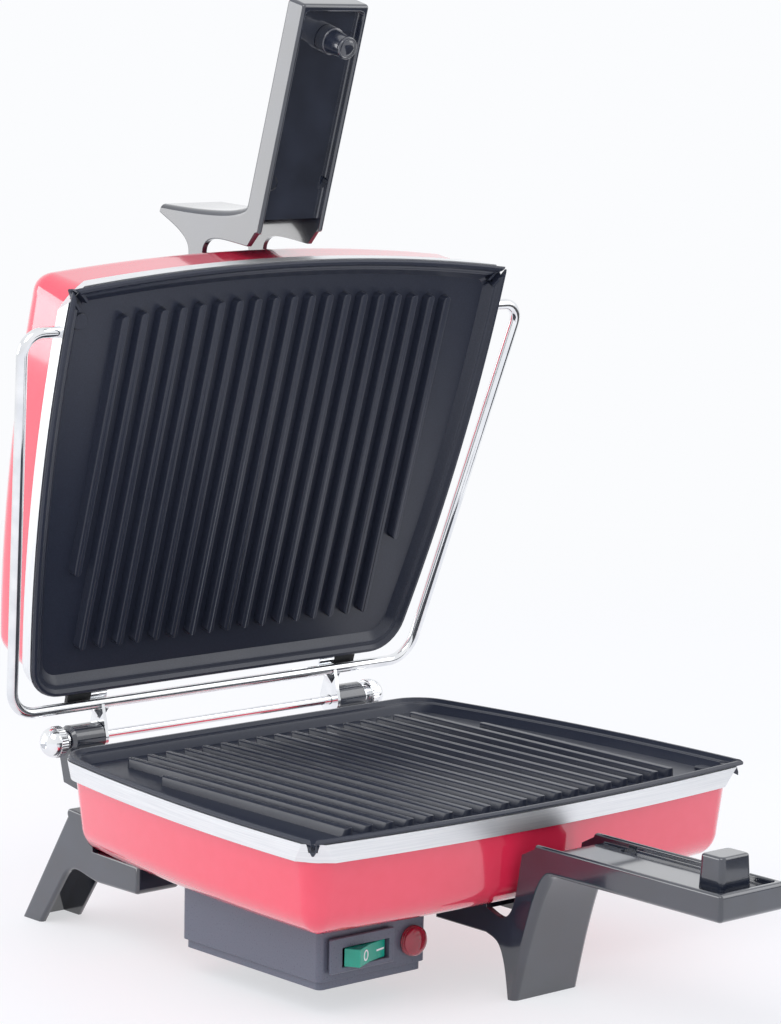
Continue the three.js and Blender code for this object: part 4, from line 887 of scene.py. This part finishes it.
# %% Rear feet
foot_middle, foot_width, foot_wall = 104 * mm, 28 * mm, 3 * mm
bend = [(100, -65), (109, -63.3), (115, -62.2), (120, -62.6), (124.5, -65.3), (128.5, -70.6)]
foot_line, foot_radii = runs(
    ([(63, -49.4)] + corner_arc((66, -62), 3, 180, 270), 2.2, 2.2),
    ([(95.4, -65.3)], 2.0, 2.0),
    (smooth_line(bend, 16), 1.8, 1.8),
    ([(149, -100.3), (165.5, -100.3), (124.2, -34.3)], 1.8, 1.8),
    (corner_arc((121.8, -32.8), 2.8, -32, 100), 1.6, 1.2),
    ([(101.8, -32), (101.8, -49.4)], 0.3, 0.3),
)
foot_hollow = [(66, -53.4), (66, -101), (162.4, -101), (130.4, -50.1), (117.4, -53.4)]
pan_rings, wall_steps, wall_drop = [], 6, 29.6 * mm
for i in range(wall_steps + 1):
    inset = top_inset + (foot_inset - top_inset) * i / wall_steps - gap
    pan_rings.append(ring(inset, pan_top - wall_drop * i / wall_steps, pan_corner))
pan_rings += floor_round(gap)[1:]
for name, side in (("left", -1), ("right", 1)):
    foot = pushed(f"rear_foot_{name}_finished", foot_line, foot_radii, foot_width / 2)
    foot.data.transform(Matrix.Translation((side * foot_middle, 0, 0)))
    stand(foot)
    reach = foot_width / 2 - foot_wall
    hollow = side_profile("hollow", foot_hollow, side * foot_middle - reach, side * foot_middle + reach)
    bore = turned("bore", [(hole, 0), (hole, 9)], up, (side * foot_middle, 80 * mm, -56 * mm))
    cut(foot, ring_stack("pan_block", pan_rings), hollow, bore)
    shade(foot, 40)
    dress(foot, "base", phenolic, (f"rear_foot_{name}",), base_place)

# %% [markdown]
# ## Pin and stop block
# The pin in the lid's handle lands on the block in the base's handle when the grill is shut.
# The pin is a turned piece with a collar, a neck and a domed tip with a groove. The block is a
# rounded rectangle that leans in a little towards its top, as anything from a mould does.

# %% Pin
pin_profile = [
    (7.5, -17.7), (7.45, -12), (7.2, -11.5), (6.78, -11.4), (6.7, -10.8), (5.75, -1.9), (5.7, -1.5),
    (5.95, -1.3), (6.1, -0.9), (6.1, -0.3), (5.9, 0.2), (5.45, 0.5), (5.05, 0.45), (4.75, 0.25),
    (4.4, 0.2), (3.9, 0.45), (2.9, 0.75), (1.6, 0.93), (0.5, 1.0),
]
pin = turned("pin", pin_profile, up, (0, bolt_y, 0))
soften(pin, 0.12 * mm, 40, 2, 30)
dress(pin, "lid", phenolic, ("lid_handle_pin",), lid_place)


# %% Stop block
levels = [(0, -17.7), (0.4, -9), (0.8, -1.9), (0.95, -1.25), (1.35, -0.78), (1.95, -0.54), (2.6, -0.5)]
block = ring_stack("stop_block", [
    rounded_rectangle((0, bolt_y), ((21.5 - 2 * i) * mm, (16.5 - 2 * i) * mm), (3 - i / 2) * mm, z * mm)
    for i, z in levels
])
soften(block, 0.1 * mm, 60, 1, 40)
dress(block, "base", phenolic, ("handle_stop_block",), base_place)

# %% [markdown]
# ## Bail
# The bail is one length of 6 mm wire, bent at four places and chromed. A ring that stands
# square to the wire is carried along the straight runs and round the bends.

# %% Bail wire
pivot_y, pivot_z = plate_depth / 2 - 207.1 * mm, -4.5 * mm
cross_y, cross_z = plate_depth / 2 + 6.7 * mm, 1.84 * mm
end_x, arm_x, cross_x = side_at(pivot_y)[0] - 5.6 * mm, 172.07 * mm, 139.5 * mm
corners = [Vector(p) for p in (
    (-end_x, pivot_y, pivot_z), (-arm_x, pivot_y, pivot_z), (-cross_x, cross_y, cross_z),
    (cross_x, cross_y, cross_z), (arm_x, pivot_y, pivot_z), (end_x, pivot_y, pivot_z),
)]
bends, wire_radius, bend_steps = [10.4 * mm, 17.2 * mm, 17.2 * mm, 10.4 * mm], 3 * mm, 12
stations = [corners[0]]
for i in range(1, 5):
    into, out = (corners[i] - corners[i - 1]).normalized(), (corners[i + 1] - corners[i]).normalized()
    half_turn = into.angle(out) / 2
    start = corners[i] - into * bends[i - 1] * math.tan(half_turn)
    centre = corners[i] + (out - into).normalized() * bends[i - 1] / math.cos(half_turn)
    for k in range(bend_steps + 1):
        turn = Matrix.Rotation(2 * half_turn * k / bend_steps, 3, into.cross(out).normalized())
        stations.append(turn @ (start - centre) + centre)
stations.append(corners[-1])
rings = []
flat = Vector((0, 0, 1))
for i, spot in enumerate(stations):
    before, after = stations[max(i - 1, 0)], stations[min(i + 1, len(stations) - 1)]
    into = (spot - before).normalized() if i else (after - spot).normalized()
    out = (after - spot).normalized() if after != spot else into
    along = (into + out).normalized()
    across = along.cross(flat).normalized()
    above = across.cross(along)
    rings.append([tuple(spot + (across * c + above * s) * wire_radius) for c, s in circle(24)])
wire = ring_stack("chromed_bail", rings)
soften(wire, 0.5 * mm, 60, 2, 45)
dress(wire, "bail", chrome, ("bail_wire",), lid_place)
print("the wire runs through", len(stations), "rings")

# %% [markdown]
# ## Hinge knobs
# Two knobs clamp the hinge: a smooth collar, a knurled ring and a polished dome with a
# hexagon socket. The knurl is cut by letting every other point of its rings sink by 0.4 mm.

# %% Knobs
knob_profile = [
    (2.4, -6.2), (2.4, -0.02), (4.8, 0), (5.2, 0.4), (5.2, 3.0), (5.0, 3.3), (7.6, 3.4),
    (8.3, 3.9, "knurled"), (8.5, 4.2, "knurled"), (8.5, 7.8, "knurled"), (8.3, 8.2, "knurled"), (7.9, 8.4),
]
knob_profile += [(8.1 * c, 8.4 + 6.6 * s) for c, s in arc(10, 72, 8)]
knob_x, socket_start = 103.8 * mm, 11.8 * mm
for name, side in (("left", -1), ("right", 1)):
    outward, centre = (side, 0, 0), (side * knob_x, hinge_y, hinge_rise)
    knob = turned(f"clamping_knob_{name}", knob_profile, outward, centre, sides=72, knurl=0.4)
    tip = (side * (knob_x + socket_start), hinge_y, hinge_rise)
    cut(knob, turned("socket", [(2.9, 0), (2.9, 8)], outward, tip, sides=6))
    soften(knob, 0.15 * mm, 40, 2, 30)
    dress(knob, "base", chrome, (f"hinge_knob_{name}",), base_place)

# %% [markdown]
# ## Smaller mouldings and fittings
# The hinge lugs, rests, clips, brackets, box and rocker already have their true shape as
# solid parts. A copy of each is merged into flat faces, its edges are rounded and it is shaded
# smooth, which is what the mould or the press does to the real edges.

# %% Lugs, rests, clips, brackets, box and rocker
pairs = [
    ("hinge_lug", "base", "black_moulding", phenolic, 0.7),
    ("lid_bumper", "lid", "black_rubber", rubber, 0.6),
    ("bumper_clip", "lid", "chrome", chrome, 0.25),
    ("bail_bracket", "bail", "chrome", chrome, 0.3),
]
softened = [(f"{pair}_{side}", *rest) for pair, *rest in pairs for side in ("left", "right")] + [
    ("switch_box", "base", "box_plastic", abs_plastic, 0.5),
    ("switch_box_cover", "base", "box_plastic", abs_plastic, 0.6),
    ("rocker_switch", "rocker", "green_rocker", green, 0.35),
]
for node, body, slot, material, edge_round in softened:
    piece = merged_copy(node, f"{node}_finished")
    soften(piece, edge_round * mm, 30, 2)
    dress(piece, body, material, (node,))

# %% [markdown]
# The switch's bezel is one moulding: a window that runs deep into the box, a flat face round
# it and a flange. Its rings run from the window's bottom forward, over the face and back.

# %% Switch bezel
box_front = -84.7 * mm


def upright(centre, width, height, corner, y):
    """A rounded rectangle, its sizes in mm, that stands in the box's front at a depth y."""
    flat = rounded_rectangle(centre, (width * mm, height * mm), corner * mm, 0, 4)
    return [(x, y, z) for x, z, _ in flat]


window, plate_middle = (-93.75 * mm, -66.15 * mm), (-96.1 * mm, -64.85 * mm)
bezel_face, bezel_back = box_front - 3.0 * mm, box_front - gap
# Width, height and corner radius of each outline, in mm.
opening, mouth, well = (30.5, 9.7, 0.3), (31.1, 10.3, 0.6), (34.5, 13.7, 1)
face, flange, undercut = (40.9, 16.9, 0.7), (41.7, 17.7, 1), (39.5, 15.5, 0.4)
bezel = ring_stack("switch_bezel_finished", [
    upright(window, *opening, box_front + 17 * mm),
    upright(window, *opening, bezel_face + 0.3 * mm),
    upright(window, *mouth, bezel_face),
    upright(plate_middle, *face, bezel_face),
    upright(plate_middle, *flange, bezel_face + 0.4 * mm),
    upright(plate_middle, *flange, bezel_face + 1.2 * mm),
    upright(plate_middle, *undercut, bezel_face + 1.3 * mm),
    upright(plate_middle, *undercut, bezel_back),
    upright(window, *well, bezel_back),
    upright(window, *well, box_front + 19 * mm),
])
soften(bezel, 0.1 * mm, 50, 1, 40)
dress(bezel, "base", abs_plastic, ("switch_bezel",), base_place)

# %% [markdown]
# ## Indicator lamp
# The lamp's lens is turned: a rim with two fine grooves and a low clear dome.

# %% Indicator lamp
lamp_profile = [
    (5, 12), (5, 0), (7.6, 0), (7.7, -0.2), (7.7, -0.8), (7.25, -1.0), (7.25, -1.3), (7.6, -1.5),
    (7.6, -2.0), (7.1, -2.2), (7.1, -2.5), (7.4, -2.7), (7.35, -3.2),
]
lamp_profile += [(7.2 * c, -3.2 - 1.9 * s) for c, s in arc(8, 88, 9)]
lamp_place = (-61.3 * mm, bezel_back, -65.7 * mm)
lamp = turned("lamp_lens", lamp_profile, (0, 1, 0), lamp_place, sides=64)
soften(lamp, 0.1 * mm, 50, 1, 30)
dress(lamp, "base", lens, ("indicator_lamp",), base_place)

# %% [markdown]
# The rocker carries two plain marks in white ink, a nought and a bar. They are modelled as
# thin slips on its two facets, which meet in a shallow valley. The rocker is pressed in at the
# right, so both facets lean back towards that side.

# %% Marks on the rocker
axle = Vector((window[0], box_front + 0.3 * mm, window[1]))
rise, valley, half_rocker = 6 * mm, 4.6 * mm, 12.6 * mm
lean, rest_turn = math.atan2(rise - valley, half_rocker), Matrix.Rotation(math.radians(20), 4, "Z")


def mark_place(side, along):
    """Turns a flat shape to a facet and sets it there, just proud of it."""
    direction = Vector((side * math.cos(lean), -math.sin(lean), 0))
    spot = Vector((0, -valley - 0.03 * mm, 0)) + direction * along
    facing = Matrix.Rotation(-side * lean, 4, "Z") @ Matrix.Rotation(math.pi / 2, 4, "X")
    return Matrix.Translation(axle) @ rest_turn @ Matrix.Translation(spot) @ facing


nought_rings = ((2.9, 2.8, 0), (2.9, 2.8, 0.05), (1.75, 2.05, 0.05), (1.75, 2.05, 0))
nought = ring_stack("nought_mark", [
    [(rx * c * mm, ry * s * mm, z * mm) for c, s in circle(40)] for rx, ry, z in nought_rings
], loop=True)
dress(nought, "rocker", ink, (), base_place @ mark_place(-1, 5.2 * mm))
bar_points = [(3.2, 0.45), (-3.2, 0.45), (-3.2, -0.45), (3.2, -0.45)]
bar = ring_stack("bar_mark", [[(x * mm, y * mm, z * mm) for x, y in bar_points] for z in (0, 0.05)])
dress(bar, "rocker", ink, (), base_place @ mark_place(1, 8.6 * mm))

# %% [markdown]
# The parts inside and underneath stay as the solids they are. A word in each name tells its
# material. All screws, bolts, spacers and elements are steel.

# %% Materials of the parts that stay as they are
kept = {
    "reflector": tray_metal, "thermostat": steatite, "terminal_block": steatite,
    "cord_gland": rubber, "hinge_rod": chrome,
}
for name, node in frame["nodes"].items():
    if node.hide_render:
        continue
    found = [kept[word] for word in kept if word in name and "screw" not in name]
    material = found[0] if found else steel
    node.data.materials.clear()
    node.data.materials.append(material)
print("materials on the parts that stay")

# %% [markdown]
# ## Stage, light and camera
# The grill stands on a plain pale floor in a white room with soft light, as product pictures
# have. A large soft lamp from the upper left gives the shapes a direction, a weaker one on the
# right opens the shadows, and one behind on the left brightens the faces that mirror it. The
# world is seen white by the camera and by reflections, but lights the object more gently.

# %% Floor
deselect()
bpy.ops.mesh.primitive_plane_add(size=40)
floor = bpy.context.object
floor.name = "floor"
material, tree, shader = new_material("pale_seamless_floor")
place = add_node(tree, "TexCoord").outputs["Object"]
soft = add_node(tree, "TexNoise", {"Scale": 3.0, "Detail": 1.0}, {"Vector": place})
tree.links.new(ramp(tree, soft.outputs["Fac"], "#f7f7f9", "#f9f9fb"), shader.inputs["Base Color"])
shader.inputs["Roughness"].default_value = 0.6
shader.inputs["Specular IOR Level"].default_value = 0.2


def seen_directly(tree):
    """One for rays from the camera, from reflections and through glass, else nought."""
    rays = add_node(tree, "LightPath").outputs
    seen = rays["Is Camera Ray"]
    for ray in ("Is Glossy Ray", "Is Transmission Ray"):
        seen = add_node(tree, "Math", links={0: seen, 1: rays[ray]}, operation="MAXIMUM").outputs["Value"]
    return seen


away = add_node(tree, "VectorMath", links={0: place}, operation="LENGTH")
fade = add_node(
    tree, "MapRange", {"From Min": 0.3, "From Max": 1.5, "To Min": 0.6}, {"Value": away.outputs["Value"]},
    interpolation_type="SMOOTHSTEP",
)
amount = add_node(
    tree, "Math", links={0: fade.outputs["Result"], 1: seen_directly(tree)}, operation="MULTIPLY"
)
pale = add_node(tree, "Emission", {"Color": colour("#fbfcfe"), "Strength": 1.0})
blend = add_node(
    tree, "MixShader",
    links={0: amount.outputs["Value"], 1: shader.outputs["BSDF"], 2: pale.outputs["Emission"]},
)
output = next(node for node in tree.nodes if node.type == "OUTPUT_MATERIAL")
tree.links.new(blend.outputs["Shader"], output.inputs["Surface"])
floor.data.materials.append(material)

# %% World
world = bpy.data.worlds.new("white_room")
bpy.context.scene.world = world
world.use_nodes = True
tree = world.node_tree
tree.nodes.clear()
room = add_node(tree, "Background", {"Color": colour("#eef1fb"), "Strength": 0.93})
backdrop = add_node(tree, "Background", {"Color": colour("#fbfcfe"), "Strength": 1.0})
mixed = add_node(
    tree, "MixShader",
    links={0: seen_directly(tree), 1: room.outputs["Background"], 2: backdrop.outputs["Background"]},
)
add_node(tree, "OutputWorld", links={"Surface": mixed.outputs["Shader"]})
print("stage ready")


# %% Lamps
def soft_lamp(name, place, size, power):
    light = bpy.data.lights.new(name, "AREA")
    light.shape = "RECTANGLE"
    light.size, light.size_y = size
    light.energy = power
    lamp_object = bpy.data.objects.new(name, light)
    bpy.context.scene.collection.objects.link(lamp_object)
    lamp_object.location = place
    aim = Vector((0, 0, 0.2)) - Vector(place)
    lamp_object.rotation_euler = aim.to_track_quat("-Z", "Y").to_euler()


soft_lamp("key", (-1.4, -0.6, 1.9), (1.4, 1.4), 18)
soft_lamp("fill", (1.8, -1.2, 1.2), (1.2, 1.6), 9)
soft_lamp("rim", (-1.6, 1.75, 0.6), (1.7, 1.1), 15)
print("three soft lamps")

# %% [markdown]
# Glossy plastic and chrome look flat when all they mirror is white. A dark card lies on the
# floor in front, out of the picture, and only reflections see it, as photographers use one.

# %% Dark card
deselect()
bpy.ops.mesh.primitive_plane_add(size=1.6, location=(1.18, -0.95, 0.002))
card = bpy.context.object
card.name = "dark_card"
card.data.materials.append(plain("dark_card_paper", ("#141519", "#191a1f"), 5, (0.6, 0.7)))
for rays in ("camera", "diffuse", "shadow", "transmission"):
    setattr(card, f"visible_{rays}", False)
print("dark card placed")

# %% [markdown]
# The camera stands where the photographer's did. Its place, its tilt and its long lens were
# worked out from the straight edges and the level feet in the photograph.

# %% Camera
bearing, pitch, roll = math.radians(-41.95), math.radians(8.46), math.radians(1.16)
stand_point = Vector((-1.23487, -1.36844 + plan_centre, 0.50358))
picture_height, focal_pixels = 1024, 3612.4
forward = Vector((
    -math.sin(bearing) * math.cos(pitch), math.cos(bearing) * math.cos(pitch), -math.sin(pitch)
))
level_right = Vector((math.cos(bearing), math.sin(bearing), 0))
level_up = level_right.cross(forward)
right = level_right * math.cos(roll) + level_up * math.sin(roll)
top = level_up * math.cos(roll) - level_right * math.sin(roll)
lens_data = bpy.data.cameras.new("camera")
lens_data.sensor_fit = "VERTICAL"
lens_data.sensor_height = 36
lens_data.lens = focal_pixels / picture_height * lens_data.sensor_height
camera = bpy.data.objects.new("camera", lens_data)
bpy.context.scene.collection.objects.link(camera)
turn = Matrix((right, top, -forward)).transposed().to_4x4()
camera.matrix_world = Matrix.Translation(stand_point) @ turn
bpy.context.scene.camera = camera
bpy.context.scene.view_settings.view_transform = "Standard"
print("lens", round(lens_data.lens, 1), "mm")

# %% [markdown]
# Last, nothing is left selected.

# %% Clear the selection
deselect()
